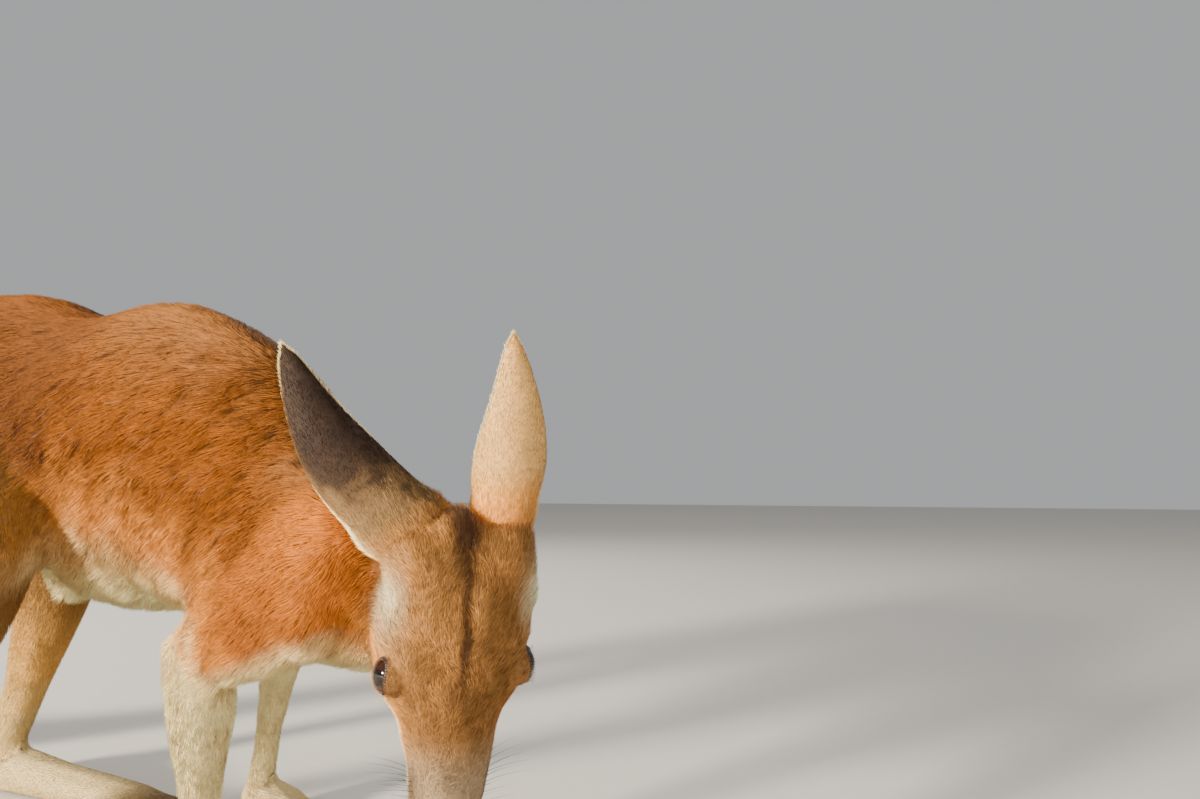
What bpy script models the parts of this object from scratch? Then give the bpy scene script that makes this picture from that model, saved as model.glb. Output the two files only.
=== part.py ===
"""Red kangaroo feeding on all fours, head hanging straight down: a still, life-size museum model.

Metres, +Z up.  The animal faces -Y, its right side is -X, and it stands on the plane z = 0.
The flesh is modelled as one smooth form, then parted with thin cuts into the named nodes.
"""

import math
from dataclasses import dataclass

import bmesh
import bpy
import numpy as np
from mathutils import Matrix, Vector

# ---- driving sizes ---------------------------------------------------------------------------
GAP = 0.0003                # clear space between two nodes
VOXEL = 0.0042              # grain of the form in which limbs and trunk grow together
FLESH_TRIANGLES = 3150      # of all the flesh nodes together
SMOOTH_PASSES = 5

EAR_WALL = 0.0026
EYE_RADIUS = 0.0125
EYE_ALONG = 0.455               # where the eyes lie, as a fraction of the head's length
EYE_ASIDE = 0.0375              # from the head's middle plane
EYE_OUT = 0.0135                # from the head's axis towards the forehead
HEAD_YAW = math.radians(44)     # the head is turned to the animal's right
HEAD_LENGTH = 0.206             # occiput to nose tip

TOE_OUT_RIGHT = math.radians(6)
TOE_OUT_LEFT = math.radians(5)
HAND_OUT_RIGHT = math.radians(4)
HAND_OUT_LEFT = math.radians(22)

# joints of the four limbs
HIP = {"right": (-0.066, 0.004, 0.425), "left": (0.060, 0.048, 0.414)}
KNEE = {"right": (-0.120, -0.212, 0.303), "left": (0.080, 0.008, 0.285)}
ANKLE = {"right": (-0.090, 0.004, 0.048), "left": (0.084, 0.118, 0.048)}
SHOULDER = {"right": (-0.074, -0.484, 0.280), "left": (0.072, -0.455, 0.285)}
ELBOW = {"right": (-0.063, -0.366, 0.218), "left": (0.124, -0.262, 0.232)}
WRIST = {"right": (-0.050, -0.361, 0.036), "left": (0.148, -0.208, 0.036)}

# ---- colours: (red, green, blue), linear ------------------------------------------------------
RUFOUS = (0.42, 0.16, 0.045)
CREAM = (0.80, 0.62, 0.36)
TAN = (0.55, 0.33, 0.14)
GREY_BROWN = (0.26, 0.17, 0.10)
HORN = (0.015, 0.012, 0.010)
EYE_BROWN = (0.02, 0.010, 0.006)
FLESH_COLOURS = {"foot": CREAM, "hand": CREAM, "forearm": CREAM, "shin": TAN, "tail": TAN}


@dataclass(frozen=True)
class Section:
    """One cross-section of a limb or trunk: its centre, half width and half height."""

    x: float
    y: float
    z: float
    wide: float
    high: float

    def row(self):
        """The section as a plain row of numbers."""
        return (self.x, self.y, self.z, self.wide, self.high)


# from the tail's root to the back of the head
TRUNK = (
    Section(0.000, 0.150, 0.352, 0.052, 0.060),
    Section(0.000, 0.095, 0.400, 0.078, 0.088),
    Section(0.000, 0.035, 0.430, 0.096, 0.104),
    Section(0.002, -0.030, 0.432, 0.095, 0.104),
    Section(0.008, -0.110, 0.411, 0.097, 0.098),
    Section(0.008, -0.210, 0.380, 0.119, 0.134),
    Section(0.001, -0.300, 0.356, 0.110, 0.120),
    Section(-0.004, -0.370, 0.319, 0.096, 0.095),
    Section(-0.007, -0.430, 0.285, 0.082, 0.075),
    Section(-0.014, -0.485, 0.264, 0.066, 0.056),
    Section(-0.031, -0.537, 0.261, 0.052, 0.048),
    Section(-0.055, -0.570, 0.268, 0.044, 0.044),
)

# from the root, down in an S to the floor, then back along it
TAIL = (
    Section(0.000, 0.100, 0.395, 0.060, 0.070),
    Section(0.000, 0.165, 0.335, 0.052, 0.061),
    Section(0.000, 0.222, 0.255, 0.046, 0.053),
    Section(0.000, 0.275, 0.170, 0.042, 0.047),
    Section(0.001, 0.345, 0.092, 0.039, 0.042),
    Section(0.003, 0.440, 0.047, 0.036, 0.038),
    Section(0.008, 0.550, 0.033, 0.033, 0.034),
    Section(0.016, 0.680, 0.027, 0.028, 0.029),
    Section(0.026, 0.820, 0.0215, 0.0225, 0.0235),
    Section(0.034, 0.950, 0.0150, 0.0165, 0.0170),
    Section(0.038, 1.030, 0.0095, 0.0105, 0.0110),
)

# along the head from the occiput, as fractions of its length: (along, half width, half height, lift)
HEAD_PROFILE = (
    (0.04, 0.030, 0.030, -0.002),
    (0.14, 0.042, 0.040, 0.000),
    (0.27, 0.0495, 0.044, 0.000),
    (0.40, 0.0515, 0.045, -0.002),
    (0.52, 0.0460, 0.043, -0.003),
    (0.64, 0.0345, 0.036, -0.002),
    (0.76, 0.0272, 0.029, 0.000),
    (0.88, 0.0238, 0.024, 0.001),
    (0.97, 0.0190, 0.0180, 0.000),
)
OCCIPUT = Vector((-0.060, -0.587, 0.322))
MUZZLE_SWING = 0.10         # how far the muzzle swings towards the chest, per unit of length

# ear shell by fraction of its length: (along, arc radius, half angle of the arc in degrees)
EAR_PROFILE = (
    (0.00, 0.0180, 150),
    (0.14, 0.0238, 134),
    (0.30, 0.0260, 114),
    (0.46, 0.0238, 99),
    (0.62, 0.0193, 88),
    (0.77, 0.0146, 80),
    (0.90, 0.0090, 74),
    (1.00, 0.0030, 66),
)
EAR_ROOT = {"right": Vector((-0.080, -0.573, 0.292)), "left": Vector((-0.0395, -0.614, 0.298))}
EAR_TIP = {"right": Vector((-0.145, -0.518, 0.424)), "left": Vector((-0.0555, -0.624, 0.438))}
EAR_BOW = {"right": Vector((-0.0050, 0.0070, -0.0040)), "left": Vector((0.0022, -0.0050, 0.0))}
EAR_SEAT = 0.15             # where the shell sits on its stub, as a fraction of the ear's length
EAR_BACK_TURN = {"right": math.radians(-20), "left": math.radians(14)}


# ---- small helpers ----------------------------------------------------------------------------
def clear_scene():
    """Removes every object of the scene."""
    for obj in list(bpy.data.objects):
        bpy.data.objects.remove(obj, do_unlink=True)


def add_material(obj, name, colour, roughness):
    """Gives an object a Principled material of its own."""
    material = bpy.data.materials.new(name)
    material.use_nodes = True
    shader = material.node_tree.nodes["Principled BSDF"]
    shader.inputs["Base Color"].default_value = (*colour, 1.0)
    shader.inputs["Roughness"].default_value = roughness
    shader.inputs["Metallic"].default_value = 0.0
    obj.data.materials.clear()
    obj.data.materials.append(material)


def new_object(name, mesh):
    """Links a mesh to the scene as an object."""
    obj = bpy.data.objects.new(name, mesh)
    bpy.context.scene.collection.objects.link(obj)
    return obj


def object_from_bmesh(name, bm):
    """Turns a bmesh into an object and frees it."""
    bmesh.ops.recalc_face_normals(bm, faces=bm.faces)
    mesh = bpy.data.meshes.new(name)
    bm.to_mesh(mesh)
    bm.free()
    return new_object(name, mesh)


def evaluated_copy(obj):
    """The mesh of an object with all its modifiers applied."""
    depsgraph = bpy.context.evaluated_depsgraph_get()
    return bpy.data.meshes.new_from_object(obj.evaluated_get(depsgraph))


def bake(obj):
    """Replaces an object's mesh by its evaluated mesh and drops the modifiers."""
    mesh = evaluated_copy(obj)
    obj.modifiers.clear()
    obj.data = mesh


def catmull_rom(rows, per_span):
    """Smooth rows of numbers through the given rows, per_span steps for each pair."""
    rows = np.array(rows, dtype=float)
    padded = np.vstack([2 * rows[0] - rows[1], rows, 2 * rows[-1] - rows[-2]])
    smooth = []
    for i in range(1, len(padded) - 2):
        a, b, c, d = padded[i - 1:i + 3]
        for step in range(per_span):
            t = step / per_span
            smooth.append(0.5 * (2 * b + (c - a) * t + (2 * a - 5 * b + 4 * c - d) * t ** 2
                                 + (3 * b - a - 3 * c + d) * t ** 3))
    smooth.append(rows[-1])
    return np.array(smooth)


def swept_form(bm, sections, side=(1, 0, 0), per_span=4, corners=20, cap=0.75, pear=0.0):
    """Adds a closed tube through the sections, with domed ends, to a bmesh.

    With pear above 0 the sections narrow upwards and widen downwards.
    """
    rows = catmull_rom([s.row() for s in sections], per_span)
    centres = rows[:, :3]
    tangents = np.gradient(centres, axis=0)
    side = Vector(side)
    rings = []

    def ring(centre, tangent, wide, high):
        """One ring of the form."""
        across = (side - side.dot(tangent) * tangent).normalized()
        up = tangent.cross(across)
        points = []
        for k in range(corners):
            angle = 2 * math.pi * k / corners
            rise = math.sin(angle) * (1 if up.z > 0 else -1)
            points.append(bm.verts.new(centre + across * wide * math.cos(angle) * (1 - pear * rise)
                                       + up * high * math.sin(angle)))
        rings.append(points)

    def dome(row, tangent, outward):
        """Three shrinking rings past an end, outermost last."""
        reach = min(row[3], row[4]) * cap
        steps = []
        for angle in (0.5, 1.0, 1.35):
            steps.append((math.sin(angle) * reach * outward, math.cos(angle)))
        return [(Vector(row[:3]) + tangent * move, row[3] * shrink, row[4] * shrink)
                for move, shrink in steps]

    first = Vector(tangents[0]).normalized()
    last = Vector(tangents[-1]).normalized()
    for centre, wide, high in reversed(dome(rows[0], first, -1)):
        ring(centre, first, wide, high)
    for row, tangent in zip(rows, tangents):
        ring(Vector(row[:3]), Vector(tangent).normalized(), row[3], row[4])
    for centre, wide, high in dome(rows[-1], last, 1):
        ring(centre, last, wide, high)

    for lower, upper in zip(rings, rings[1:]):
        for k in range(corners):
            following = (k + 1) % corners
            bm.faces.new((lower[k], lower[following], upper[following], upper[k]))
    bm.faces.new(list(reversed(rings[0])))
    bm.faces.new(rings[-1])


def ball(bm, centre, radii, turn=Matrix.Identity(3), segments=16):
    """Adds an ellipsoid to a bmesh."""
    placed = Matrix.Translation(centre) @ turn.to_4x4() @ Matrix.Diagonal((*radii, 1.0))
    bmesh.ops.create_uvsphere(bm, u_segments=segments, v_segments=segments // 2, radius=1.0,
                              matrix=placed)


def between(a, b, share):
    """The point at a fraction of the way from start to end."""
    return Vector(a).lerp(Vector(b), share)


def section_at(point, wide, high):
    """A section with its middle at a point."""
    return Section(point[0], point[1], point[2], wide, high)


def frame_from(axis, towards):
    """An orthonormal frame: columns across, towards, axis."""
    axis = axis.normalized()
    towards = (towards - towards.dot(axis) * axis).normalized()
    across = towards.cross(axis)
    return across, towards, axis


# ---- the head's own axes ----------------------------------------------------------------------
FACE_OUT = Vector((-math.sin(HEAD_YAW), -math.cos(HEAD_YAW), 0.0))      # where the forehead looks
HEAD_RIGHT = Vector((-math.cos(HEAD_YAW), math.sin(HEAD_YAW), 0.0))
HEAD_DOWN = (Vector((0, 0, -1)) - MUZZLE_SWING * FACE_OUT).normalized()
FOREHEAD = HEAD_DOWN.cross(HEAD_RIGHT).normalized()
if FOREHEAD.dot(FACE_OUT) < 0:
    FOREHEAD = -FOREHEAD


def head_point(along, right, out):
    """A point in the head's frame; along is a fraction of the head's length."""
    return OCCIPUT + HEAD_DOWN * (along * HEAD_LENGTH) + HEAD_RIGHT * right + FOREHEAD * out


def ear_frame(side):
    """Across the ear, towards its back, and along it to the tip."""
    axis = EAR_TIP[side] - EAR_ROOT[side]
    turn = Matrix.Rotation(EAR_BACK_TURN[side], 3, axis.normalized())
    return frame_from(axis, turn @ FOREHEAD)


# ---- flesh ------------------------------------------------------------------------------------
def add_head(bm):
    """The skull form, with cheeks, brows, jaw, lips and the ears' stubs."""
    sections = []
    for along, wide, high, lift in HEAD_PROFILE:
        sections.append(section_at(head_point(along, 0, lift), wide, high))
    swept_form(bm, sections, side=HEAD_RIGHT, corners=24, cap=0.55)
    head_turn = Matrix((HEAD_RIGHT, FOREHEAD, HEAD_DOWN)).transposed()
    for sign in (1, -1):
        ball(bm, head_point(0.42, sign * 0.030, -0.012), (0.019, 0.025, 0.036), head_turn)     # cheek
        ball(bm, head_point(0.37, sign * 0.029, 0.021), (0.014, 0.014, 0.026), head_turn)      # brow
        ball(bm, head_point(0.80, sign * 0.0115, -0.006), (0.015, 0.018, 0.028), head_turn)    # lip
        ball(bm, head_point(0.13, sign * 0.028, 0.014), (0.022, 0.024, 0.028), head_turn)      # ear base
    ball(bm, head_point(0.93, 0, 0.007), (0.0175, 0.013, 0.013), head_turn)                    # nose

    for side in ("right", "left"):
        axis = EAR_TIP[side] - EAR_ROOT[side]
        _, back, _ = ear_frame(side)
        middle = EAR_ROOT[side] - back * 0.006
        sections = (section_at(middle - axis * 0.22, 0.024, 0.024),
                    section_at(middle, 0.0200, 0.0200),
                    section_at(middle + axis * 0.20, 0.0182, 0.0182))
        swept_form(bm, sections, side=HEAD_RIGHT, corners=16)


def add_hind_leg(bm, side, toe_out):
    """Thigh, shin, long foot and toes of one side."""
    hip, knee, ankle = Vector(HIP[side]), Vector(KNEE[side]), Vector(ANKLE[side])
    outward = -1 if side == "right" else 1
    thigh = (
        section_at(hip, 0.057, 0.102),
        section_at(between(hip, knee, 0.36) + Vector((0, 0.014, -0.014)), 0.061, 0.096),
        section_at(between(hip, knee, 0.68) + Vector((0, 0.012, -0.012)), 0.050, 0.074),
        section_at(knee, 0.036, 0.044),
    )
    swept_form(bm, thigh)
    ball(bm, hip + Vector((0, 0.014, -0.002)), (0.056, 0.100, 0.104))       # round the hip
    calf_back = Vector((0, 0.010, -0.004))
    shin = (
        section_at(knee + Vector((0, 0.006, 0.004)), 0.034, 0.041),
        section_at(between(knee, ankle, 0.22) + calf_back, 0.033, 0.046),
        section_at(between(knee, ankle, 0.45) + calf_back * 0.6, 0.027, 0.038),
        section_at(between(knee, ankle, 0.70), 0.0205, 0.027),
        section_at(between(knee, ankle, 0.90), 0.0190, 0.0235),
        section_at(ankle, 0.0200, 0.0240),
    )
    swept_form(bm, shin)

    forward = Vector((outward * math.sin(toe_out), -math.cos(toe_out), 0))
    across = Vector((-forward.y, forward.x, 0)) * -outward      # towards the outer side
    across = across if across.x * outward > 0 else -across

    def sole(ahead, sideways, height):
        """A point over the foot, ahead of the ankle and to its outer side."""
        flat = Vector((ankle.x, ankle.y, 0)) + forward * ahead + across * sideways
        return Vector((flat.x, flat.y, height))

    foot = (
        section_at(sole(-0.042, 0, 0.0215), 0.0165, 0.0200),
        section_at(sole(-0.012, 0, 0.0270), 0.0205, 0.0280),
        section_at(sole(0.040, 0, 0.0235), 0.0205, 0.0245),
        section_at(sole(0.110, 0.001, 0.0180), 0.0210, 0.0190),
        section_at(sole(0.170, 0.002, 0.0150), 0.0225, 0.0160),
        section_at(sole(0.205, 0.002, 0.0130), 0.0215, 0.0140),
    )
    swept_form(bm, foot)
    for toe in HIND_TOES:
        start = sole(toe.ahead, toe.sideways, toe.thick)
        middle = sole(toe.ahead + toe.length * 0.55, toe.sideways + toe.spread * 0.5, toe.thick * 1.05)
        end = sole(toe.ahead + toe.length, toe.sideways + toe.spread, toe.thick * 0.86)
        sections = (section_at(start, toe.thick * 1.05, toe.thick * 1.1),
                    section_at(middle, toe.thick, toe.thick * 1.12),
                    section_at(end, toe.thick * 0.82, toe.thick * 0.92))
        swept_form(bm, sections, corners=12)


@dataclass(frozen=True)
class Toe:
    """A digit: where it starts on the foot, its length, sideways spread, thickness and claw."""

    name: str
    ahead: float
    sideways: float
    length: float
    spread: float
    thick: float
    claw: float


HIND_TOES = (
    Toe("toe2", 0.165, -0.0225, 0.036, -0.001, 0.0052, 0.009),
    Toe("toe3", 0.165, -0.0120, 0.038, -0.003, 0.0052, 0.009),
    Toe("toe4", 0.205, 0.0030, 0.052, 0.001, 0.0115, 0.027),
    Toe("toe5", 0.175, 0.0200, 0.040, 0.006, 0.0080, 0.018),
)
FINGER_COUNT = 5
FINGER_FAN = math.radians(62)
FINGER_THICK = 0.0062
FINGER_LENGTHS = (0.024, 0.030, 0.032, 0.030, 0.024)
KNUCKLE_AHEAD = 0.034
KNUCKLE_RADIUS = 0.018
FINGER_CLAW = 0.015
CLAW_TAPER = ((0.0, 1.0), (0.40, 0.84), (0.75, 0.52), (1.0, 0.18))     # (along, size)
CLAW_TIP_HEIGHT = 0.0018
CLAW_CORNERS = 6


def hand_axes(side):
    """The way a hand points, and the level direction across it."""
    turn = HAND_OUT_RIGHT if side == "right" else HAND_OUT_LEFT
    outward = -1 if side == "right" else 1
    forward = Vector((outward * math.sin(turn), -math.cos(turn), 0))
    across = Vector((-forward.y, forward.x, 0))
    return forward, across if across.x * outward > 0 else -across


def finger_line(side, index):
    """Start and end of one finger, and its direction along the floor."""
    forward, across = hand_axes(side)
    wrist = Vector(WRIST[side])
    palm = Vector((wrist.x, wrist.y, 0)) + forward * KNUCKLE_AHEAD
    angle = FINGER_FAN * (index / (FINGER_COUNT - 1) - 0.5)
    along = (forward * math.cos(angle) + across * math.sin(angle)).normalized()
    start = palm + along * KNUCKLE_RADIUS * 0.6 + across * math.sin(angle) * KNUCKLE_RADIUS * 0.8
    end = start + along * FINGER_LENGTHS[index]
    return start, end, along


def add_foreleg(bm, side):
    """Shoulder, upper arm, forearm, palm and fingers of one side."""
    shoulder, elbow, wrist = Vector(SHOULDER[side]), Vector(ELBOW[side]), Vector(WRIST[side])
    inward = Vector((0.022 if side == "right" else -0.022, 0, 0))
    upper = (
        section_at(shoulder + inward + Vector((0, 0.060, 0.044)), 0.026, 0.044),
        section_at(shoulder + inward * 0.3 + Vector((0, 0.016, 0.016)), 0.034, 0.050),
        section_at(shoulder, 0.038, 0.050),
        section_at(between(shoulder, elbow, 0.40), 0.035, 0.046),
        section_at(between(shoulder, elbow, 0.75), 0.030, 0.037),
        section_at(elbow, 0.025, 0.029),
    )
    swept_form(bm, upper)
    forearm = (
        section_at(elbow + Vector((0, 0.004, 0.006)), 0.0240, 0.0300),
        section_at(between(elbow, wrist, 0.22), 0.0240, 0.0285),
        section_at(between(elbow, wrist, 0.50), 0.0172, 0.0190),
        section_at(between(elbow, wrist, 0.80), 0.0132, 0.0140),
        section_at(wrist, 0.0145, 0.0155),
    )
    swept_form(bm, forearm)
    forward, across = hand_axes(side)
    base = Vector((wrist.x, wrist.y, 0))
    palm = (
        section_at(base - forward * 0.006 + Vector((0, 0, 0.0215)), 0.0180, 0.0220),
        section_at(base + forward * 0.018 + Vector((0, 0, 0.0175)), 0.0210, 0.0180),
        section_at(base + forward * KNUCKLE_AHEAD + Vector((0, 0, 0.0130)), 0.0225, 0.0135),
    )
    swept_form(bm, palm, side=across)
    for index in range(FINGER_COUNT):
        start, end, _ = finger_line(side, index)
        lift = Vector((0, 0, FINGER_THICK))
        middle = start.lerp(end, 0.5) + lift * 1.25
        sections = (section_at(start + lift * 1.3, FINGER_THICK, FINGER_THICK),
                    section_at(middle, FINGER_THICK * 0.96, FINGER_THICK * 0.96),
                    section_at(end + lift * 0.9, FINGER_THICK * 0.80, FINGER_THICK * 0.82))
        swept_form(bm, sections, corners=10)


def add_trunk(bm):
    """Chest, belly, hips and tail."""
    swept_form(bm, TRUNK, corners=32, pear=0.10)
    ball(bm, (0.006, -0.245, 0.300), (0.100, 0.120, 0.066))             # low belly
    ball(bm, (0.000, -0.452, 0.262), (0.052, 0.052, 0.048))             # brisket
    ball(bm, (0.012, -0.098, 0.268), (0.029, 0.032, 0.038))             # sac at the groin
    for outward in (-1, 1):
        ball(bm, (outward * 0.044, 0.062, 0.405), (0.052, 0.088, 0.094))      # buttock
    swept_form(bm, TAIL, corners=24)


# ---- claws, eyes and ears ---------------------------------------------------------------------
def claw_rows(start, along, length, thick):
    """The centre, half width and half height of a claw's rings; it stays above the floor."""
    rows = []
    for share, size in CLAW_TAPER:
        drop = (start.z - CLAW_TIP_HEIGHT) * share ** 1.6
        centre = start + along * (length * share) - Vector((0, 0, drop))
        rows.append((centre, thick * size * 0.72, thick * size))
    return rows


def claw_list():
    """Every claw as (name, start, direction, length, thickness)."""
    claws = []
    for side, toe_out in (("right", TOE_OUT_RIGHT), ("left", TOE_OUT_LEFT)):
        outward = -1 if side == "right" else 1
        forward = Vector((outward * math.sin(toe_out), -math.cos(toe_out), 0))
        across = Vector((-forward.y, forward.x, 0))
        across = across if across.x * outward > 0 else -across
        ankle = Vector(ANKLE[side])
        for toe in HIND_TOES:
            ahead = toe.ahead + toe.length - toe.thick * 0.2
            spot = Vector((ankle.x, ankle.y, 0)) + forward * ahead + across * (toe.sideways + toe.spread)
            start = Vector((spot.x, spot.y, toe.thick * 0.95))
            along = (forward * toe.length + across * toe.spread).normalized()
            claws.append((f"claw_{side}_{toe.name}", start, along, toe.claw, toe.thick * 0.50))
        for index in range(FINGER_COUNT):
            _, end, along = finger_line(side, index)
            start = end - along * FINGER_THICK * 0.2 + Vector((0, 0, FINGER_THICK * 1.05))
            claws.append((f"claw_{side}_finger{index + 1}", start, along, FINGER_CLAW,
                          FINGER_THICK * 0.52))
    return claws


def claw_mesh(bm, start, along, length, thick):
    """Adds a curved claw that tapers to a blunt point, with a flat base."""
    side = Vector((-along.y, along.x, 0)).normalized()
    rings = []
    for centre, wide, high in claw_rows(start, along, length, thick):
        ring = []
        for k in range(CLAW_CORNERS):
            angle = 2 * math.pi * k / CLAW_CORNERS
            ring.append(bm.verts.new(centre + side * wide * math.cos(angle)
                                     + Vector((0, 0, high * math.sin(angle)))))
        rings.append(ring)
    for lower, upper in zip(rings, rings[1:]):
        for k in range(CLAW_CORNERS):
            following = (k + 1) % CLAW_CORNERS
            bm.faces.new((lower[k], lower[following], upper[following], upper[k]))
    bm.faces.new(list(reversed(rings[0])))
    bm.faces.new(rings[-1])


def eye_centre(sign):
    """The middle of an eye; sign is 1 on the right and -1 on the left."""
    return head_point(EYE_ALONG, sign * EYE_ASIDE, EYE_OUT)


def ear_mesh(side):
    """A cupped ear shell: an arc of wall that opens towards the tip."""
    root, tip = EAR_ROOT[side], EAR_TIP[side]
    axis = tip - root
    foot = root + axis * EAR_SEAT
    across, back, _ = ear_frame(side)
    bm = bmesh.new()
    rings = []
    steps = 9
    for share, radius, half_angle in EAR_PROFILE:
        middle = foot.lerp(tip, share) + EAR_BOW[side] * math.sin(math.pi * share)
        centre = middle - back * radius * 0.55
        outer, inner = [], []
        for k in range(steps):
            angle = math.radians(half_angle) * (2 * k / (steps - 1) - 1)
            ray = back * math.cos(angle) + across * math.sin(angle)
            outer.append(bm.verts.new(centre + ray * radius))
            inner.append(bm.verts.new(centre + ray * max(radius - EAR_WALL, radius * 0.3)))
        rings.append(outer + inner[::-1])
    count = len(rings[0])
    for lower, upper in zip(rings, rings[1:]):
        for k in range(count):
            following = (k + 1) % count
            bm.faces.new((lower[k], lower[following], upper[following], upper[k]))
    for ring in (rings[0], rings[-1]):
        for k in range(steps - 1):
            bm.faces.new((ring[k], ring[k + 1], ring[count - 2 - k], ring[count - 1 - k]))
    bmesh.ops.triangulate(bm, faces=bm.faces)
    return object_from_bmesh(f"ear_{side}", bm)


# ---- cutting ----------------------------------------------------------------------------------
MERGE = 0.000001            # corners nearer than this to a cut lie on it


@dataclass(frozen=True)
class Plane:
    """A parting plane: a point on it and the direction towards the piece that is parted off."""

    point: Vector
    towards: Vector


def body_planes():
    """The planes across trunk and tail, each with the node beyond it, in the order of cutting."""
    return (
        ("tail_end", Plane(Vector((0.022, 0.770, 0.022)), Vector((0, 1, 0)))),
        ("tail_middle", Plane(Vector((0.004, 0.470, 0.040)), Vector((0, 1, 0)))),
        ("tail_root", Plane(Vector((0.000, 0.170, 0.328)), Vector((0, 0.66, -0.75)))),
        ("head", Plane(Vector((-0.050, -0.560, 0.276)), FACE_OUT)),
        ("neck", Plane(Vector((-0.012, -0.498, 0.280)), Vector((-0.30, -0.92, -0.22)))),
        ("chest", Plane(Vector((0.010, -0.245, 0.365)), Vector((0, -1, 0)))),
        ("belly", Plane(Vector((0.004, -0.050, 0.412)), Vector((0, -1, 0)))),
    )


def hull_of_balls(balls):
    """The convex hull of a few ellipsoids, each given as (centre, radii)."""
    solid = bmesh.new()
    for centre, radii in balls:
        ball(solid, centre, radii, segments=10)
    bm = bmesh.new()
    for vert in solid.verts:
        bm.verts.new(vert.co)
    solid.free()
    bmesh.ops.convex_hull(bm, input=bm.verts)
    loose = [v for v in bm.verts if not v.link_faces]
    bmesh.ops.delete(bm, geom=loose, context="VERTS")
    return object_from_bmesh("hull", bm)


def thigh_volume(side, grow):
    """What belongs to the thigh, knee included, made larger by grow."""
    outward = Vector((-1 if side == "right" else 1, 0, 0))
    hip, knee, ankle = Vector(HIP[side]), Vector(KNEE[side]), Vector(ANKLE[side])
    calf = between(knee, ankle, 0.14) + outward * 0.012 + Vector((0, 0.020, 0.004))
    return hull_of_balls((
        (hip + outward * 0.085 + Vector((0, 0.004, -0.020)),
         (0.070 + grow, 0.118 + grow, 0.112 + grow)),
        (between(hip, knee, 0.75) + outward * 0.030, (0.070 + grow, 0.080 + grow, 0.084 + grow)),
        (knee + outward * 0.012, (0.062 + grow, 0.058 + grow, 0.058 + grow)),
        (calf, (0.060 + grow, 0.066 + grow, 0.052 + grow)),
    ))


def upper_arm_volume(side, grow):
    """What belongs to the upper arm, elbow included, made larger by grow."""
    outward = Vector((-1 if side == "right" else 1, 0, 0))
    shoulder, elbow = Vector(SHOULDER[side]), Vector(ELBOW[side])
    return hull_of_balls((
        (shoulder + outward * 0.030 + Vector((0, 0.010, 0.000)),
         (0.044 + grow, 0.054 + grow, 0.048 + grow)),
        (elbow + outward * 0.004, (0.034 + grow, 0.038 + grow, 0.040 + grow)),
    ))


def subtract(target, cutter):
    """Cuts target by cutter and bakes the result; the cutter is removed."""
    cutter.hide_render = True
    cutter.display_type = "WIRE"
    boolean = target.modifiers.new("cut", "BOOLEAN")
    boolean.operation = "DIFFERENCE"
    boolean.solver = "EXACT"
    boolean.object = cutter
    bake(target)
    bpy.data.objects.remove(cutter, do_unlink=True)


def duplicate(obj, name):
    """A copy of an object under another name."""
    return new_object(name, obj.data.copy())


def keep_inside(target, volume):
    """Keeps the part of target inside volume; the volume is removed."""
    volume.hide_render = True
    volume.display_type = "WIRE"
    boolean = target.modifiers.new("keep", "BOOLEAN")
    boolean.operation = "INTERSECT"
    boolean.solver = "EXACT"
    boolean.object = volume
    bake(target)
    bpy.data.objects.remove(volume, do_unlink=True)


def slice_at(obj, point, towards):
    """Keeps what lies beyond a plane, and closes the cut with flat faces."""
    bm = bmesh.new()
    bm.from_mesh(obj.data)
    geometry = bm.verts[:] + bm.edges[:] + bm.faces[:]
    bmesh.ops.bisect_plane(bm, geom=geometry, dist=MERGE, plane_co=point, plane_no=towards,
                           clear_inner=True)
    rim = [edge for edge in bm.edges if edge.is_boundary]
    bmesh.ops.holes_fill(bm, edges=rim, sides=0)
    bmesh.ops.recalc_face_normals(bm, faces=bm.faces)
    bm.to_mesh(obj.data)
    bm.free()


def part_off(piece, name, plane):
    """Parts off what lies beyond the plane as a new node, with the gap between."""
    node = duplicate(piece, name)
    towards = plane.towards.normalized()
    slice_at(node, plane.point + towards * GAP / 2, towards)
    slice_at(piece, plane.point - towards * GAP / 2, -towards)
    return node


def take_out(piece, name, volume, side):
    """Takes out what lies inside a limb's volume as a new node, with the gap between."""
    node = duplicate(piece, name)
    keep_inside(node, volume(side, 0.0))
    subtract(piece, volume(side, GAP))
    return node


def loose_groups(mesh):
    """The sets of corners that hang together, largest first."""
    whole = bmesh.new()
    whole.from_mesh(mesh)
    whole.verts.ensure_lookup_table()
    unseen = set(range(len(whole.verts)))
    groups = []
    while unseen:
        start = unseen.pop()
        reached, front = {start}, [start]
        while front:
            for edge in whole.verts[front.pop()].link_edges:
                other = edge.other_vert(edge.verts[0]).index, edge.verts[0].index
                for index in other:
                    if index in unseen:
                        unseen.discard(index)
                        reached.add(index)
                        front.append(index)
        groups.append(reached)
    whole.free()
    return sorted(groups, key=len, reverse=True)


def only_group(obj, group, name):
    """A new object that holds one group of an object's corners."""
    bm = bmesh.new()
    bm.from_mesh(obj.data)
    bm.verts.ensure_lookup_table()
    bmesh.ops.delete(bm, geom=[v for v in bm.verts if v.index not in group], context="VERTS")
    return object_from_bmesh(name, bm)


def loose_nearest(obj, name, spot):
    """Takes the loose piece whose middle is nearest a spot out of an object, as a new object."""
    groups = loose_groups(obj.data)
    corners = obj.data.vertices

    def distance(group):
        """How far a group of faces lies from the point."""
        total = Vector((0, 0, 0))
        for index in group:
            total += corners[index].co
        return (total / len(group) - spot).length

    nearest = min(groups, key=distance)
    piece = only_group(obj, nearest, name)
    rest = set(range(len(corners))) - nearest
    remainder = only_group(obj, rest, "remainder")
    obj.data = remainder.data
    bpy.data.objects.remove(remainder, do_unlink=True)
    return piece


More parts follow.
